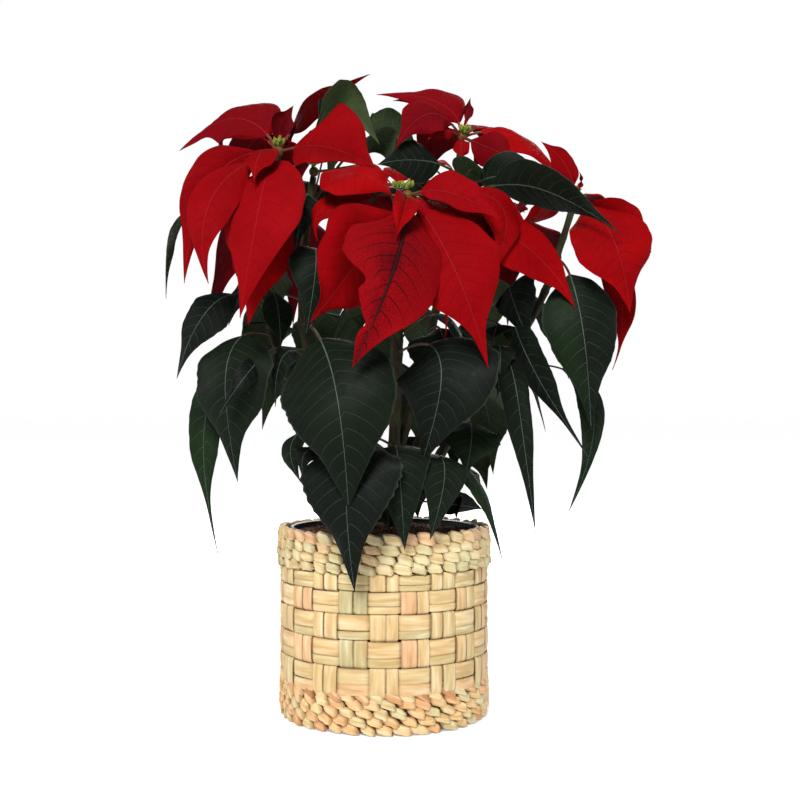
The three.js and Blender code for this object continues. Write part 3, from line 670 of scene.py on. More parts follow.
def grow_blade(blade):
    """One leaf or bract as a single sheet of its own, laid on its midrib."""
    sheet = own_copy(narrow_sheet if blade["width"] < NARROW_SHEET_UNDER else wide_sheet)
    mesh = sheet.data
    flat = points_of(mesh)
    along, across = (flat[:, 1] + 1) / 2, -flat[:, 0]
    along = 1 - (1 - along) ** 1.12
    ripple, chance = ripples_of(blade)
    placed, veins, skin, screen_side = lay_blade(blade, along, across, ripple)
    put_points(mesh, "skin", placed, skin)
    put_uv(mesh, "veins", np.stack([veins, across], axis=1))
    nature = character_of(blade)
    aged = AGEING[blade["kind"]] * chance.random() ** 2
    shift = nature.get("green", nature.get("crimson", aged))
    by_side = np.where(screen_side < 0, nature.get("green_left", shift), shift)
    paint_tone(mesh, by_side, chance.random(), nature["dark"])
    if nature["turned"]:
        mesh.flip_normals()
    return sheet


# %% Tubes along lines, for stems, stalks and ribs
RIB_SLIMNESS = {"leaf": 0.46, "bract": 0.42}


def bevelled_lines(lines, finish, sides=2):
    """Round tubes along lines of points in millimetres, each with a radius for every point."""
    deselect_all()
    bpy.ops.curve.primitive_nurbs_path_add()
    tube = bpy.context.object
    curve = tube.data
    curve.splines.clear()
    for points, radii in lines:
        line = curve.splines.new("POLY")
        line.points.add(len(points) - 1)
        packed = np.concatenate([np.array(points) * MM, np.ones((len(points), 1))], axis=1)
        line.points.foreach_set("co", packed.astype(np.float32).ravel())
        line.points.foreach_set("radius", np.array(radii, np.float32))
        line.use_smooth = True
    curve.dimensions = "3D"
    curve.bevel_depth = MM
    curve.bevel_resolution = sides
    curve.use_fill_caps = True
    choose(tube)
    bpy.ops.object.convert(target="MESH")
    tube = bpy.context.object
    tube.data.materials.append(finish)
    return tube


def rib_line(blade, on_blade):
    """The line of a blade's midrib, or of the stalk below it: stout first, then a thread."""
    stalk = STALK_SHARE[blade["kind"]]
    share = np.linspace(stalk, 0.985, 30) if on_blade else np.linspace(0, stalk + 0.02, 12)
    points, _, up = midrib_at(blade, share)
    run = np.clip((share - stalk) / (1 - stalk), 0, 1)
    stout = 1.25 if blade["width"] > NARROW_SHEET_UNDER else 0.9
    if on_blade:
        radii = stout * RIB_SLIMNESS[blade["kind"]] * (1 - run) ** 1.2 + 0.2
        sunk = radii * 0.35 - 0.25
    else:
        radii = stout * (1 + 0.4 * np.exp(-((share / 0.03) ** 2)))
        sunk = 0
    lift = sway(blade, run, ripples_of(blade)[0]) - sunk
    return points + up * lift[:, None], radii


def ribs_of(blades, rib, stalk):
    """Midribs and stalks of many blades as two pieces with their finishes."""
    return [
        bevelled_lines([rib_line(b, on_blade) for b in blades], finish)
        for on_blade, finish in ((True, rib), (False, stalk))
    ]


print("a rib runs over", len(rib_line(blades_of("leaf", "near")[0], True)[0]), "points")

# %% [markdown]
# ## Finishes of the plant
# **Leaf upper side.** Living leaf: a waxy skin over dark tissue. Three scales make it rich:
# pale sunken veins 10 mm apart, a fine net of veinlets about 2.5 mm wide, and slow clouds of
# lighter and darker green. A wax skin is a dull dielectric, so the roughness is middling and
# the specular level low.
#
# **Leaf underside.** The same leaf without the wax: paler, matt, with proud veins.
#
# **Bract.** Coloured leaf tissue covered with tiny swollen cells, which scatter light like
# velvet, so a red sheen replaces most of the gloss. Old bracts are crimson, and one of them
# still carries green-black veins.

# %% Patterns: veins, veinlets and clouds
def vein_mask(tree, width):
    """1 on the side veins and 0 between them, thinner towards the margin, and the way to it."""
    where = add_node(tree, "UVMap", uv_map="veins")
    parts = add_node(tree, "SeparateXYZ", [where])
    distance = add_node(tree, "Math", [parts.outputs[0], 0.5], operation="PINGPONG")
    reach = add_node(tree, "Math", [parts.outputs[1]], operation="ABSOLUTE")
    thinning = add_node(tree, "MapRange", [reach, 0, 1, width, width * 0.35])
    lines = add_node(tree, "MapRange", [distance, 0, thinning, 1, 0], interpolation_type="SMOOTHSTEP")
    fading = add_node(tree, "MapRange", [reach, 0.75, 1, 1, 0.15])
    return add_node(tree, "Math", [lines, fading], operation="MULTIPLY"), reach


def veinlets(tree, size_mm):
    """The net of veinlets: 1 on the threads of the net, 0 inside its meshes."""
    where = add_node(tree, "UVMap", uv_map="skin")
    spacing = {"Vector": where, "Scale": 10 / size_mm, "Randomness": 0.9}
    cells = add_node(tree, "TexVoronoi", spacing, feature="DISTANCE_TO_EDGE")
    return add_node(tree, "MapRange", [cells, 0, 0.16, 1, 0])


def drawn_noise(tree, where, scale, stretch, detail):
    """Noise that is drawn out in the directions whose stretch is below 1."""
    drawn = add_node(tree, "Mapping", {"Vector": where, "Scale": stretch})
    return add_node(tree, "TexNoise", {"Vector": drawn, "Scale": scale, "Detail": detail})


def clouds(tree, size_mm, detail=3.0, upright=1):
    """Slow changes over the piece, about this many millimetres across."""
    where = add_node(tree, "TexCoord").outputs["Object"]
    return drawn_noise(tree, where, 1000 / size_mm, (1, 1, upright), detail)


# %% One recipe for the four blade finishes
INK = "#1e080c"


def blade_finish(name, base, other, cloudy, vein, net, edge, sheen, rough, specular, relief):
    """Leaf tissue: base turns to other with the tone attribute, veins and net lie over both."""
    material, tree, shader = new_material(name)
    tone = add_node(tree, "Attribute", attribute_name="tone")
    shift, light, dark = add_node(tree, "SeparateColor", [tone.outputs["Color"]]).outputs
    patchy = add_node(tree, "MapRange", [clouds(tree, 38), 0.35, 0.7, 0, 0.6])
    threads = veinlets(tree, 2.6)
    lines, reach = vein_mask(tree, vein[2])
    ink_lines, _ = vein_mask(tree, 0.085)
    spans = {
        "rim": (0.955, 0.985, 0, 1),
        "ink": (0.4, 0.85, 0.95, 0.1),
        "stain": (0, 0.5, 0.55, 0),
        "net": (0.1, 0.9, 0.5, 0.15),
        "spine": (0.02, 0.065, 0.95, 0),
    }
    over = {key: add_node(tree, "MapRange", [reach, *span]) for key, span in spans.items()}
    blots = add_node(tree, "MapRange", [clouds(tree, 30), 0.35, 0.6, 0, 1.4])
    inked = {"stain": blots, "net": threads, "ink": ink_lines, "spine": 1}
    layers = [
        (shift, 1, other),
        (patchy, 1, cloudy),
        (threads, net[1], net[0]),
        (lines, vein[1], vein[0]),
        (over["rim"], edge[1], edge[0]),
    ]
    for key, pattern in inked.items():
        place = add_node(tree, "Math", [pattern, over[key]], operation="MULTIPLY")
        layers.append((place, dark, INK))
    tissue = linear(base)
    for mask, strength, colour in layers:
        amount = add_node(tree, "Math", [mask, strength], operation="MULTIPLY")
        tissue = add_node(tree, "Mix", [amount, tissue, linear(colour)], data_type="RGBA")
    value = add_node(tree, "MapRange", [light, 0, 1, 0.82, 1.12])
    shaded = add_node(tree, "HueSaturation", {"Color": tissue, "Value": value})
    proud = add_node(tree, "Math", [threads, 0.3, lines], operation="MULTIPLY_ADD")
    height = add_node(tree, "Math", [proud, relief], operation="MULTIPLY")
    bump = add_node(tree, "Bump", {"Strength": 0.5, "Distance": 0.5 * MM, "Height": height})
    dullness = add_node(tree, "MapRange", [clouds(tree, 9), 0.3, 0.7, rough - 0.07, rough + 0.07])
    fill(tree, shader, {"Base Color": shaded, "Roughness": dullness, "Normal": bump, "IOR": 1.45})
    fill(tree, shader, {"Specular IOR Level": specular, "Sheen Weight": sheen[1]})
    fill(tree, shader, {"Sheen Roughness": 0.45, "Sheen Tint": linear(sheen[0])})
    return material


# %% The four blade finishes
leaf_upper = blade_finish(
    "waxy leaf, upper side", "#101510", "#213b16", "#0a0e0b", ("#4e5a4e", 0.5, 0.036),
    ("#1b231d", 0.3), ("#3e483e", 0.4), ("#9fb3a6", 0.0), 0.5, 0.07, -1.0,
)
leaf_under = blade_finish(
    "matt leaf, underside", "#303a26", "#4c5c36", "#232c1c", ("#525e40", 0.6, 0.06),
    ("#424e34", 0.45), ("#424e34", 0.3), ("#9fb3a6", 0.0), 0.62, 0.07, 1.0,
)
bract_upper = blade_finish(
    "velvety scarlet bract, upper side", "#960609", "#660712", "#700408", ("#600409", 0.5, 0.05),
    ("#6c0409", 0.34), ("#66060d", 0.5), ("#ff4a44", 0.004), 0.64, 0.02, -1.0,
)
bract_under = blade_finish(
    "dull crimson bract, underside", "#62080f", "#5a0a14", "#52060d", ("#7c2028", 0.4, 0.06),
    ("#5c0810", 0.35), ("#701820", 0.4), ("#ff8a80", 0.01), 0.66, 0.03, 1.0,
)
print("four finishes for the blades")

# %% Plain finishes of stalks, ribs and bark
def stalk_finish(name, colour, streak, size_mm, rough=0.5, relief=0.3):
    """Fresh stalk tissue with lengthwise streaks of a second colour."""
    material, tree, shader = new_material(name)
    streaks = clouds(tree, size_mm, 4.0, 0.25)
    amount = add_node(tree, "MapRange", [streaks, 0.38, 0.62, 0, 1])
    mixed = add_node(tree, "Mix", [amount, linear(colour), linear(streak)], data_type="RGBA")
    bump = add_node(tree, "Bump", {"Strength": relief, "Distance": 0.6 * MM, "Height": streaks})
    fill(tree, shader, {"Base Color": mixed, "Roughness": rough, "Normal": bump})
    fill(tree, shader, {"Specular IOR Level": 0.2})
    return material


bark = stalk_finish("young corky bark", "#33371c", "#2a1f14", 4, 0.7, 0.7)
leaf_rib = stalk_finish("leaf midrib", "#4c5850", "#3c4840", 8)
red_rib = stalk_finish("bract midrib", "#8c0c14", "#7c080e", 8, 0.75)
dark_rib = stalk_finish("green black midrib", "#1c1a12", "#2a1010", 8)
leaf_stalk = stalk_finish("reddish leaf stalk", "#4a1a16", "#3c4424", 14)
bract_stalk = stalk_finish("green red bract stalk", "#7a1a1a", "#5a4a24", 10)
hub_skin = stalk_finish("green hub skin", "#56601f", "#6a3018", 3)
print("seven finishes for stems and stalks")

# %% [markdown]
# ## Growing the plant
# Each stem carries its leaves and ends in a hub with its bracts. The blades of one stem are
# joined before Solidify gives them the thickness of a leaf. Solidify also turns the second
# skin to the next material, so every underside gets the paler finish by itself.

# %% Joining and finishing pieces
def join_all(things, name):
    """Joins objects into one piece with a new name."""
    choose(*things)
    if len(things) > 1:
        bpy.ops.object.join()
    joined = bpy.context.view_layer.objects.active
    joined.name = name
    return joined


def apply_modifier(piece, kind, **settings):
    """Adds a modifier to a piece, sets it and applies it."""
    choose(piece)
    modifier = piece.modifiers.new(kind.lower(), kind)
    for name, value in settings.items():
        setattr(modifier, name, value)
    bpy.ops.object.modifier_apply(modifier=modifier.name)


def discard(*things):
    """Removes the patterns that every copy has been made from."""
    for thing in things:
        bpy.data.objects.remove(thing)


def finish_piece(piece, node, angle=None):
    """Puts a piece in the place of its CAD node, shaded smoothly up to an angle if it has one."""
    if angle:
        choose(piece)
        bpy.ops.object.shade_smooth_by_angle(angle=math.radians(angle))
    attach(piece, "root")
    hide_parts(node)
    print(piece.name, "stands for", node, "with", len(piece.data.polygons), "faces")


# %% Leaves and stems
LEAF_THICKNESS = 0.5
SCAR_HEIGHT = 0.14
SCAR_LENGTH = 0.011


def thicken(blades, name, upper, under):
    """Grows blades as sheets, joins them, gives them thickness and paints their undersides."""
    piece = join_all([grow_blade(blade) for blade in blades], name)
    piece.data.materials.append(upper)
    piece.data.materials.append(under)
    apply_modifier(piece, "SOLIDIFY", thickness=LEAF_THICKNESS * MM, offset=0.0, material_offset=1)
    return piece


def stem_tube(key):
    """A stem as a tapered tube with a swollen scar where each leaf grows or has grown."""
    stout, slim = STEMS[key][1]
    share = np.linspace(0, 1, 60)
    radii = stout + (slim - stout) * share
    scars = [row[0] for row in LEAVES.get(key, [])] + list(LEAF_RINGS.get(key, [[]])[0])
    scars += [place + 0.045 * (i % 2) for i, place in enumerate(np.linspace(0.12, 0.96, 9))]
    for scar in scars:
        radii = radii * (1 + SCAR_HEIGHT * np.exp(-(((share - scar) / SCAR_LENGTH) ** 2)))
    return bevelled_lines([([stem_at(key, s) for s in share], radii)], bark, sides=4)


for place, key in enumerate(STEMS, start=1):
    blades = blades_of("leaf", key)
    tube = stem_tube(key)
    leaves = thicken(blades, "leaves", leaf_upper, leaf_under)
    ribs = ribs_of(blades, leaf_rib, leaf_stalk)
    stem = join_all([leaves, tube, *ribs], f"stem_and_leaves_{place}")
    finish_piece(stem, f"leafy_stem_{place}", 40)

# %% Bracts
for place, key in enumerate(STEMS, start=1):
    blades = blades_of("bract", key)
    inked = [b for b in blades if character_of(b)["dark"] > 0.5]
    plain = [b for b in blades if character_of(b)["dark"] <= 0.5]
    parts = [thicken(blades, "bracts", bract_upper, bract_under)]
    for group, finish in ((inked, dark_rib), (plain, red_rib)):
        if group:
            parts += ribs_of(group, finish, bract_stalk)
    deselect_all()
    place_of_hub = tuple(hub_of(key) * MM)
    bpy.ops.mesh.primitive_ico_sphere_add(subdivisions=3, radius=HUB_RADIUS * MM, location=place_of_hub)
    bpy.context.object.scale.z = 1.06
    parts.append(settle("hub", hub_skin))
    bloom = join_all(parts, f"bracts_{place}")
    finish_piece(bloom, f"bloom_{place}", 40)
discard(wide_sheet, narrow_sheet)

# %% [markdown]
# ## True flowers
# The flowers of a poinsettia are small green cups, called cyathia, 5 to 6 mm tall. Each opens
# with a few red-tipped stamens and carries one yellow gland like a pair of lips. One cup is
# turned from a short cylinder: its rings are scaled in edit mode into an urn, a gland is a
# pair of flattened beads on its side, and the stamens' tips are beads too. The cup is then
# copied into a crowd.

# %% Working on one ring of points
def choose_ring(level):
    """Selects only the points at one height of the piece, and leaves it in edit mode."""
    bpy.ops.object.mode_set(mode="EDIT")
    bpy.ops.mesh.select_all(action="DESELECT")
    bpy.ops.object.mode_set(mode="OBJECT")
    for point in bpy.context.object.data.vertices:
        point.select = abs(point.co.z - level) < MM / 100
    bpy.ops.object.mode_set(mode="EDIT")


def widen(factor, level=0):
    """Scales the selected points away from the upright axis."""
    bpy.ops.transform.resize(value=(factor, factor, 1), center_override=(0, 0, level))


# %% One flower cup
CUP_HEIGHT = 5.6
CUP_RADIUS = 2.1
CUP_RINGS = [0.45, 0.85, 1.05, 1.0, 0.72, 0.8]
cup_skin = stalk_finish("green flower cup", "#7e8c33", "#5f7a2a", 2)
deselect_all()
bpy.ops.mesh.primitive_cylinder_add(
    vertices=10, radius=CUP_RADIUS * MM, depth=CUP_HEIGHT * MM, location=(0, 0, CUP_HEIGHT * MM / 2)
)
cup = settle("cup", cup_skin)
levels = [CUP_HEIGHT * MM * ring / (len(CUP_RINGS) - 1) for ring in range(len(CUP_RINGS))]
bpy.ops.object.mode_set(mode="EDIT")
for level in levels[1:-1]:
    bpy.ops.mesh.select_all(action="SELECT")
    bpy.ops.mesh.bisect(plane_co=(0, 0, level), plane_no=(0, 0, 1))
for level, factor in zip(levels, CUP_RINGS):
    choose_ring(level)
    widen(factor, level)
bpy.ops.object.mode_set(mode="OBJECT")
print("a cup of", len(cup.data.polygons), "faces,", CUP_HEIGHT, "mm tall")

# %% Gland and stamens: size of a bead, and its distance from the axis and the foot of the cup
GLAND_SIZE, GLAND_REACH, GLAND_HEIGHT = (0.8, 1.1, 0.75), 2.3, 4.2
ANTHER_SIZE, ANTHER_REACH, ANTHER_HEIGHT = (0.38, 0.38, 0.7), 0.8, 6.0
gland_skin = stalk_finish("yellow nectar gland", "#d8b31c", "#b8a020", 2, 0.25)
stamen_skin = stalk_finish("stamens with pollen", "#b02a18", "#d8a030", 1.2, 0.6)


def bead(name, radii, place, finish):
    """A small rounded bead for glands and anthers."""
    deselect_all()
    bpy.ops.mesh.primitive_uv_sphere_add(segments=8, ring_count=5, radius=MM)
    bpy.context.object.scale = radii
    bpy.context.object.location = Vector(place) * MM
    return settle(name, finish)


flower_parts = [cup]
for lip in (-0.5, 0.5):
    flower_parts.append(bead("gland", GLAND_SIZE, (GLAND_REACH, lip, GLAND_HEIGHT), gland_skin))
for i in range(4):
    turn = i * 1.57 + 0.4
    level = ANTHER_HEIGHT + 0.5 * (i % 2)
    spot = (ANTHER_REACH * math.cos(turn), ANTHER_REACH * math.sin(turn), level)
    flower_parts.append(bead("anther", ANTHER_SIZE, spot, stamen_skin))
one_flower = join_all(flower_parts, "one_flower")
print("one flower has", len(one_flower.data.polygons), "faces")

# %% Crowds of flowers: reach in millimetres, then turn and lean in radians
CROWD = [(0, 0, 0), (3.6, 0.2, 0.32), (3.5, 1.5, 0.3), (3.7, 2.7, 0.35), (3.5, 3.9, 0.33), (3.6, 5.1, 0.3)]
BUTTON = 3.0
CUP_SINK = 0.6
FLOWERS_LEAN = {"top": (0.6, -1.4), "right": (-0.2, 1)}
for place, key in enumerate(STEMS, start=1):
    outward = Vector((*FLOWERS_LEAN.get(key, (0, 0)), 1)).normalized()
    seat = Vector(hub_of(key)) + outward * (HUB_RADIUS + GAP + BUTTON)
    chance = random.Random(place)
    crowd = []
    for reach, turn, lean in CROWD:
        flower = own_copy(one_flower)
        size = chance.uniform(0.72, 1.0)
        spun = Matrix.Rotation(chance.uniform(0, FULL_TURN), 4, "Z")
        tipped = Matrix.Rotation(turn, 4, "Z") @ Matrix.Rotation(lean, 4, "Y")
        stood = Vector((reach * math.cos(turn), reach * math.sin(turn), -CUP_SINK))
        where = Matrix.Translation((seat + stood) * MM)
        flower.data.transform(where @ tipped @ spun @ Matrix.Scale(size, 4))
        crowd.append(flower)
    crowd.append(bead("button", (BUTTON, BUTTON, BUTTON), seat, cup_skin))
    cluster = join_all(crowd, f"flower_cups_{place}")
    finish_piece(cluster, f"flowers_{place}", 50)
discard(one_flower)

# %% [markdown]
# ## Basket
# The basket is made of dried palm leaf. Wide flat straps are plaited over one, under one, each
# of them two strips side by side. Bands of twining close it above and below: two strands twist
# around each other, so the outside shows slanting knots, row over row. One knot is a stretched
# bead with folds along it, copied around each row. Each strap is a flat strip whose points are
# pushed out where it passes over another strap, and in where it dives under.

# %% Palm leaf
# The last colour is painted shade for the edges of straps and the ends of knots, where they pass under
# their neighbours.
STAIN, BLEACH, EDGE_SHADE = "#b98c52", "#efe2bd", "#6e4420"


def palm_finish(name, shades, line_mm, relief, edge_shade):
    """Dried palm leaf: shades by strap, fine lengthwise fibres, painted shade at edges and ends, and a
    dull natural wax.
    """
    material, tree, shader = new_material(name)
    tone = add_node(tree, "Attribute", attribute_name="tone")
    parts = add_node(tree, "SeparateColor", [tone.outputs["Color"]])
    ramp = add_node(tree, "ValToRGB", [parts])
    for i in range(1, len(shades) - 1):
        ramp.color_ramp.elements.new(i / (len(shades) - 1))
    for stop, shade in zip(ramp.color_ramp.elements, shades):
        stop.color = linear(shade)
    where = add_node(tree, "UVMap", uv_map="grain")
    apart = add_node(tree, "VectorMath", [where, tone.outputs["Vector"]], operation="ADD")
    fibres = drawn_noise(tree, apart, 10 / line_mm, (0.06, 1, 1), 4.0)
    bands = drawn_noise(tree, apart, 10 / 5.0, (0.15, 1, 1), 1.0)
    value = add_node(tree, "MapRange", [fibres, 0.3, 0.7, 0.88, 1.08])
    palm = add_node(tree, "HueSaturation", {"Color": ramp, "Value": value})
    layers = [
        (bands, (0.5, 0.68, 0, 0.5), STAIN),
        (bands, (0.45, 0.3, 0, 0.5), BLEACH),
        # Painted shade: the tone's alpha darkens the edges of straps and the ends of knots, where they
        # tuck under.
        (tone.outputs["Alpha"], (0.6, 1, 0, edge_shade), EDGE_SHADE),
    ]
    for mask, span, colour in layers:
        amount = add_node(tree, "MapRange", [mask, *span])
        palm = add_node(tree, "Mix", [amount, palm, linear(colour)], data_type="RGBA")
    bump = add_node(tree, "Bump", {"Strength": relief, "Distance": 0.4 * MM, "Height": fibres})
    fill(tree, shader, {"Base Color": palm, "Roughness": 0.5, "Normal": bump})
    fill(tree, shader, {"Specular IOR Level": 0.35})
    return material


STRAP_SHADES = ["#bdb587", "#d0ba84", "#ddc08a", "#e5c28c", "#e2b184"]
RIM_SHADES = ["#ccc698", "#d8ca98", "#e2cb98", "#e8be92", "#d9a67c"]
FOOT_SHADES = ["#d6cb9a", "#e8cd96", "#efc58c", "#e4ae78", "#b06c3e"]
strap_skin = palm_finish("dried palm leaf straps", STRAP_SHADES, 0.9, 0.35, 0.4)
rim_skin = palm_finish("twined palm leaf, pale", RIM_SHADES, 1.1, 0.7, 0.45)
foot_skin = palm_finish("twined palm leaf, golden", FOOT_SHADES, 1.1, 0.7, 0.45)
# Painted shade: the strands behind the knots are nearly black, as dark as the shadow in the holes of the
# weave.
painted_shade_skin = palm_finish("twined palm leaf, inner strands in painted shade", ["#3a2312", "#4a2e18"], 1.1, 0.7, 0.0)
print("four finishes for palm leaf")

# %% One knot of the twining
KNOT_LENGTH = 18.5
END_SLANT = -0.25
UNEVEN = 0.05
deselect_all()
bpy.ops.mesh.primitive_uv_sphere_add(
    segments=8, ring_count=8, radius=0.5, rotation=(0, math.radians(90), 0)
)
knot = add_layers(settle("knot"), "grain")
grain_of = []
for point in knot.data.vertices:
    x = 2 * point.co.x
    turn = math.atan2(point.co.z, -point.co.y)
    grain_of.append((x * KNOT_LENGTH / 20, turn * 0.5))
    girth = 0.5 * max(1 - abs(x) ** 5, 0) ** 0.45
    crease = 1 - 0.14 * math.exp(-((turn / 0.35) ** 2))
    boxy = (abs(math.cos(turn)) ** 3 + abs(math.sin(turn)) ** 3) ** (-1 / 3)
    point.co.y = -girth * crease * boxy * math.cos(turn)
    point.co.z = girth * crease * boxy * math.sin(turn)
    point.co.x += END_SLANT * point.co.z
put_uv(knot.data, "grain", np.array(grain_of))
print("one knot has", len(knot.data.polygons), "faces")


# %% Rows of knots
LINING_THICKNESS = 2.4


def own_grain(chance):
    """Where on the palm leaf a strand was cut, so that no two show the same fibres."""
    return chance.uniform(0, 9), chance.uniform(0, 9)


def knot_row(count, level, radius, size, slant, shades, start, chance, finish):
    """A ring of knots at one height, each tucked under the next."""
    laid = []
    length, tall, deep = size
    for i in range(count):
        turn = 2 * math.pi * (i + start + chance.uniform(-0.06, 0.06)) / count
        wide = length * chance.uniform(0.88, 1.1)
        thick = deep * chance.uniform(0.9, 1.08)
        stretch = Matrix.Diagonal((wide, thick, tall * chance.uniform(0.86, 1.1), 1))
        leaned = Matrix.Rotation(math.radians(slant + chance.uniform(-9, 9)), 4, "Y")
        tucked = Matrix.Rotation(math.radians(-10 + chance.uniform(-3, 3)), 4, "Z")
        out = radius + chance.uniform(-0.5, 0.5)
        place = Matrix.Translation((0, -out, level + chance.uniform(-0.4, 0.4)))
        around = Matrix.Rotation(turn, 4, "Z")
        copy = own_copy(knot)
        # The ends carry painted shade: 0 in the middle of a knot, 1 at the ends that tuck under the next.
        ends = [abs(2 * (p.co.x - END_SLANT * p.co.z)) for p in copy.data.vertices]
        for point in copy.data.vertices:
            point.co += Vector([chance.uniform(-UNEVEN, UNEVEN) for _ in range(3)])
        copy.data.transform(Matrix.Scale(MM, 4) @ around @ place @ tucked @ leaned @ stretch)
        paint_tone(copy.data, chance.uniform(*shades), *own_grain(chance), ends)
        copy.data.materials.append(finish)
        laid.append(copy)
    return laid


def twining(rows, step, chance, finish):
    """Rows of knots one above the other, each begun a step further round than the last."""
    laid = []
    for place, row in enumerate(rows):
        laid += knot_row(*row, step * place, chance, finish)
    return laid


def lining(name, radius, bottom, top):
    """A plain ring of palm leaf behind the knots, which closes the holes between them with painted shade.
    """
    deselect_all()
    height = (top - bottom) * MM
    bpy.ops.mesh.primitive_cylinder_add(
        vertices=66, radius=radius * MM, depth=height, end_fill_type="NOTHING",
        location=(0, 0, (top + bottom) / 2 * MM),
    )
    ring = add_layers(settle(name, painted_shade_skin), "grain")
    paint_tone(ring.data, 1.0, *own_grain(random.Random(1)), 0)
    apply_modifier(ring, "SOLIDIFY", thickness=LINING_THICKNESS * MM, offset=0.0)
    return ring


# %% Rim: count, height, radius, size of a knot, slant and range of shades of each row
RIM_ROWS = [
    (40, 146.8, 98.0, (16.4, 9.9, 7.4), 6, (0.0, 0.5)),
    (40, 155.3, 98.4, (16.4, 9.9, 7.4), 6, (0.0, 0.6)),
    (40, 163.8, 98.2, (16.4, 9.9, 7.4), 7, (0.0, 0.7)),
    (39, 172.4, 97.6, (17.0, 10.4, 7.2), 8, (0.35, 1.0)),
]
rim_parts = twining(RIM_ROWS, 0.15, random.Random(5), rim_skin)
print("the rim has", len(rim_parts), "knots")
rim_parts.append(lining("rim_lining", 95.5, 143, 175))
rim = join_all(rim_parts, "basket_rim_twining")
finish_piece(rim, "basket_rim", 38)

# %% Foot and base
FOOT_ROWS = [
    (39, 5.2, 94.8, (16.6, 9.2, 7.8), 14, (0.0, 0.8)),
    (39, 12.7, 96.0, (16.6, 9.2, 7.8), 12, (0.05, 0.7)),
    (39, 20.0, 96.4, (16.6, 9.2, 7.6), 12, (0.0, 0.65)),
    (39, 27.3, 96.2, (16.6, 9.0, 7.6), 12, (0.0, 0.75)),
]
# Dark and pale knots take turns in the top row, which binds the straps.
BINDING_ROWS = [
    (22, 33.6, 96.4, (19, 7.4, 6.4), 22, (0.75, 1.0), 0.25),
    (22, 33.6, 96.2, (17, 7.4, 6.2), 10, (0.0, 0.5), 0.75),
]
# The base is a flat spiral of strands, drawn as rings from the middle outwards.
COILS, COIL_PITCH, COIL_RADIUS = 12, 7.6, 2.808
INNER_COIL, COIL_HEIGHT = 6, 3.2
chance = random.Random(11)
foot_parts = twining(FOOT_ROWS, 0.41, chance, foot_skin)
for row in BINDING_ROWS:
    foot_parts += knot_row(*row, chance, foot_skin)
foot_parts.append(lining("foot_lining", 93.5, 2, 33))
for coil in range(COILS):
    deselect_all()
    bpy.ops.mesh.primitive_torus_add(
        major_radius=(INNER_COIL + COIL_PITCH * coil) * MM, minor_radius=COIL_RADIUS * MM,
        major_segments=48, minor_segments=6, location=(0, 0, COIL_HEIGHT * MM),
    )
    strand = add_layers(settle("coil", foot_skin), "grain")
    paint_tone(strand.data, chance.random(), *own_grain(chance), 0)
    foot_parts.append(strand)
foot = join_all(foot_parts, "basket_foot_twining")
# The basket's weight presses the lowest knots flat on the ground.
for point in foot.data.vertices:
    point.co.z = max(point.co.z, 0)
finish_piece(foot, "basket_foot", 38)
discard(knot)

# %% Straps of the wall
COLUMNS = 22
WALL_RADIUS = 96.9
PITCH = 2 * math.pi * WALL_RADIUS / COLUMNS
ROW_EDGES = [34, 60, 84, 107, 127, 142]
COLUMN_EDGES = [column * PITCH for column in range(COLUMNS + 1)]
WEAVE_DEPTH = 1.8
STRAP_THICKNESS = 0.8
EDGE_CURL = 0.55
WANDER = 0.45
# Shares of one cell, and how far a strip is pushed out at each of them.
CELL_STEPS = [0, 0.05, 0.12, 0.3, 0.5, 0.7, 0.88, 0.95]
CELL_PUSH = [0, 0.62, 0.9, 1.04, 1.08, 1.04, 0.9, 0.62]


def strap_sheet(name, cells):
    """A flat strip six faces across, with its grain and tone layers."""
    deselect_all()
    steps = cells * len(CELL_STEPS)
    bpy.ops.mesh.primitive_grid_add(x_subdivisions=steps, y_subdivisions=6, size=2)
    return add_layers(settle(name), "grain")


def over_and_under(edges, first):
    """Stations along a strip through its cells, and its push at each; first is 1 for over."""
    along, push = [], []
    for cell, (low, high) in enumerate(zip(edges, edges[1:])):
        over = first if cell % 2 == 0 else -first
        along += [low + (high - low) * share for share in CELL_STEPS]
        push += [over * depth for depth in CELL_PUSH]
    return np.array(along + [edges[-1]]), np.array(push + [0])


# %% One strip of the weave
def weave_strip(pattern, line, low, high, start, chance, shade):
    """Bends a copy of a flat strip into the weave: upright at its start, or else round it."""
    strip = own_copy(pattern)
    mesh = strip.data
    flat = points_of(mesh)
    along, push = line
    step = np.rint((flat[:, 0] + 1) / 2 * (len(along) - 1)).astype(int)
    across = (flat[:, 1] + 1) / 2
    run = along[step]
    edge = np.abs(2 * across - 1) ** 3
    radius = WALL_RADIUS + WEAVE_DEPTH * push[step] - EDGE_CURL * edge
    width = low + (high - low) * across + WANDER * np.sin(run / 31 + chance.uniform(0, FULL_TURN))
    round_way, level = (run, width) if start is None else (start + width, run)
    turn = round_way / WALL_RADIUS
    places = np.stack([radius * np.cos(turn), radius * np.sin(turn), level], axis=1)
    put_points(mesh, "grain", places, np.stack([run, width], axis=1) / 10)
    # The edge goes into the tone's alpha, which paints shade along both edges of the strip.
    paint_tone(mesh, shade, *own_grain(chance), edge)
    return strip


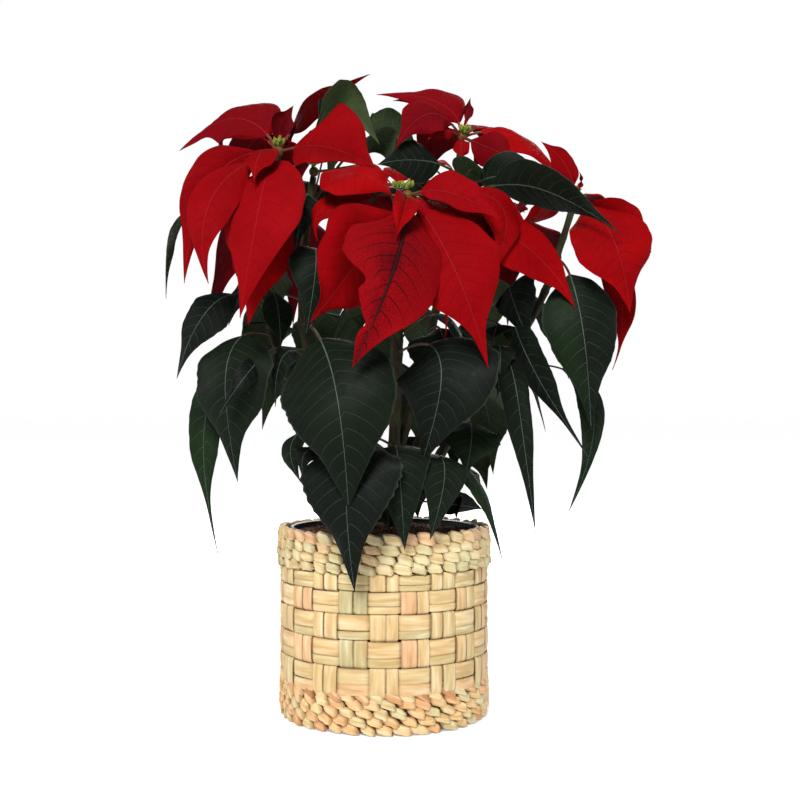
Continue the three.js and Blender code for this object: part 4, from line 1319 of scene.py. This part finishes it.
# %% Hoops and stakes, each of two strips side by side
HOOP_MARGIN, HOOP_SLIT = 0.8, 0.2
STAKE_MARGIN, STAKE_SLITS = 1.2, [0.2, 0.3, 0.6, 1.0]
chance = random.Random(23)
hoop_sheet = strap_sheet("hoop_sheet", COLUMNS)
stake_sheet = strap_sheet("stake_sheet", len(ROW_EDGES) - 1)
straps = []
for row, (low, high) in enumerate(zip(ROW_EDGES, ROW_EDGES[1:])):
    line = over_and_under(COLUMN_EDGES, -1 if row % 2 == 0 else 1)
    split = low + (high - low) * chance.uniform(0.3, 0.44)
    for edges in ((low + HOOP_MARGIN, split - HOOP_SLIT), (split + HOOP_SLIT, high - HOOP_MARGIN)):
        shade = chance.uniform(0.1, 0.9)
        straps.append(weave_strip(hoop_sheet, line, *edges, None, chance, shade))
print(len(straps), "hoop strips,", round(PITCH, 1), "mm from stake to stake")

for column in range(COLUMNS):
    line = over_and_under(ROW_EDGES, 1 if column % 2 == 0 else -1)
    split = PITCH * chance.uniform(0.42, 0.58)
    slit = chance.choice(STAKE_SLITS)
    for edges in ((STAKE_MARGIN, split - slit), (split + slit, PITCH - STAKE_MARGIN)):
        shade = chance.random()
        straps.append(weave_strip(stake_sheet, line, *edges, column * PITCH, chance, shade))
print(len(straps), "strips with the stakes")

# %% The wall as one piece
def turn_outwards():
    """Points all faces of the piece in edit mode outwards, and leaves that mode."""
    bpy.ops.mesh.select_all(action="SELECT")
    bpy.ops.mesh.normals_make_consistent(inside=False)
    bpy.ops.object.mode_set(mode="OBJECT")


wall = join_all(straps, "basket_wall_straps")
bpy.ops.object.mode_set(mode="EDIT")
bpy.ops.mesh.select_all(action="SELECT")
bpy.ops.mesh.remove_doubles(threshold=MM / 100)
turn_outwards()
apply_modifier(wall, "SOLIDIFY", thickness=STRAP_THICKNESS * MM, offset=0.0)
wall.data.materials.append(strap_skin)
finish_piece(wall, "basket_wall", 50)
discard(hoop_sheet, stake_sheet)

# %% [markdown]
# ## Grow pot and soil
# The nursery pot is thin polypropylene, blow moulded, with a rolled lip. Only its lip and a
# little of its inside show above the soil, but the holes of the weave look onto its side. The
# soil is peat with crumbs, bark chips and a few white grains of perlite.

# %% Grow pot
POT_BASE = 6.3
POT_SIDE = 158
POT_RADII = (72, 85.8)
POT_WALL = 1.4
# Radius and rise of each ring of the lip, from the top of the pot's side.
LIP_STEPS = [(90.3, 0), (90.5, 6), (90.3, 11.6), (89.6, 12), (88.0, 12), (86.6, 11.4)]
pot_plastic = stalk_finish("blow moulded polypropylene", "#4a4e55", "#3e4248", 6, 0.42, 0.08)
deselect_all()
bpy.ops.mesh.primitive_cone_add(
    vertices=96, radius1=POT_RADII[0] * MM, radius2=POT_RADII[1] * MM, depth=POT_SIDE * MM,
    location=(0, 0, (POT_BASE + POT_SIDE / 2) * MM), end_fill_type="NOTHING",
)
pot = settle("grow_pot_shell", pot_plastic)
choose_ring((POT_BASE + POT_SIDE) * MM)
radius, level = POT_RADII[1], 0
for next_radius, rise in LIP_STEPS:
    climb = (0, 0, (rise - level) * MM)
    bpy.ops.mesh.extrude_region_move(TRANSFORM_OT_translate={"value": climb})
    widen(next_radius / radius)
    radius, level = next_radius, rise
choose_ring(POT_BASE * MM)
bpy.ops.mesh.edge_face_add()
turn_outwards()
apply_modifier(pot, "SOLIDIFY", thickness=POT_WALL * MM, offset=-1.0)
finish_piece(pot, "grow_pot", 35)

# %% Peat and perlite
# Damp peat is dark brown crumbs, matt, with lighter fibres.
peat, tree, shader = new_material("damp peat and bark")
grain = clouds(tree, 2.2, 6.0)
tone = add_node(tree, "ValToRGB", [grain])
for stop, place, colour in zip(tone.color_ramp.elements, (0.35, 0.75), ("#24160d", "#80583e")):
    stop.position = place
    stop.color = linear(colour)
bump = add_node(tree, "Bump", {"Strength": 0.9, "Distance": MM, "Height": grain})
fill(tree, shader, {"Base Color": tone, "Roughness": 0.95, "Normal": bump})
fill(tree, shader, {"Specular IOR Level": 0.15})
perlite = stalk_finish("white perlite", "#d8d4cc", "#b8b4aa", 1.5, 0.8)
print("peat and perlite")

# %% Soil
SOIL_TOP = 171
SOIL_BASE = 9
SOIL_RADIUS = 85
SOIL_FOOT_RADIUS = 69
HEAP = 3
LOOSE = (-1.3, 1.5)
RINGS = 16
deselect_all()
bpy.ops.mesh.primitive_circle_add(
    vertices=72, radius=SOIL_RADIUS * MM, fill_type="NGON", location=(0, 0, SOIL_TOP * MM)
)
soil = settle("soil", peat)
bpy.ops.object.mode_set(mode="EDIT")
bpy.ops.mesh.select_all(action="SELECT")
for ring in range(RINGS):
    bpy.ops.mesh.inset(thickness=SOIL_RADIUS / (RINGS + 1.5) * MM)
bpy.ops.object.mode_set(mode="OBJECT")
chance = random.Random(7)
for point in soil.data.vertices:
    from_middle = math.hypot(point.co.x, point.co.y) / MM
    loose = 0 if from_middle > SOIL_RADIUS - 1 else chance.uniform(*LOOSE)
    point.co.z += (HEAP * (1 - from_middle / SOIL_RADIUS) + loose) * MM
bpy.ops.object.mode_set(mode="EDIT")
bpy.ops.mesh.select_all(action="DESELECT")
bpy.ops.mesh.select_non_manifold()
down = (0, 0, (SOIL_BASE - SOIL_TOP) * MM)
bpy.ops.mesh.extrude_region_move(TRANSFORM_OT_translate={"value": down})
widen(SOIL_FOOT_RADIUS / SOIL_RADIUS)
bpy.ops.mesh.edge_face_add()
turn_outwards()
print("the soil has", len(soil.data.polygons), "faces")

# %% Crumbs and perlite
CRUMBS = 300
PERLITE_EVERY = 25
deselect_all()
bpy.ops.mesh.primitive_ico_sphere_add(subdivisions=1, radius=1)
crumb = bpy.context.object
crumbs = []
for i in range(CRUMBS):
    turn = chance.uniform(0, 2 * math.pi)
    reach = SOIL_RADIUS * 0.96 * math.sqrt(chance.random())
    white = i % PERLITE_EVERY == 0
    size = chance.uniform(0.8, 1.5) if white else chance.uniform(0.9, 2.6)
    stretch = Matrix.Diagonal((size, size * chance.uniform(0.5, 1), size * chance.uniform(0.4, 0.8), 1))
    angle = chance.uniform(0, FULL_TURN)
    spun = Matrix.Rotation(angle, 4, Vector((chance.random(), chance.random(), 1)))
    level = SOIL_TOP + HEAP * (1 - reach / SOIL_RADIUS) + 0.6
    place = Matrix.Translation((reach * math.cos(turn), reach * math.sin(turn), level))
    copy = own_copy(crumb)
    copy.data.transform(Matrix.Scale(MM, 4) @ place @ spun @ stretch)
    copy.data.materials.append(perlite if white else peat)
    crumbs.append(copy)
discard(crumb)
soil = join_all([soil] + crumbs, "potting_soil")
finish_piece(soil, "soil")

# %% Sizes and finish
def plain(box):
    """A box as nested lists of plain numbers, which JSON can hold."""
    return [[float(value) for value in corner] for corner in box]


sizes = {"cad": plain(CAD_BOX), "visual": plain(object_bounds())}
print("sizes", sizes)
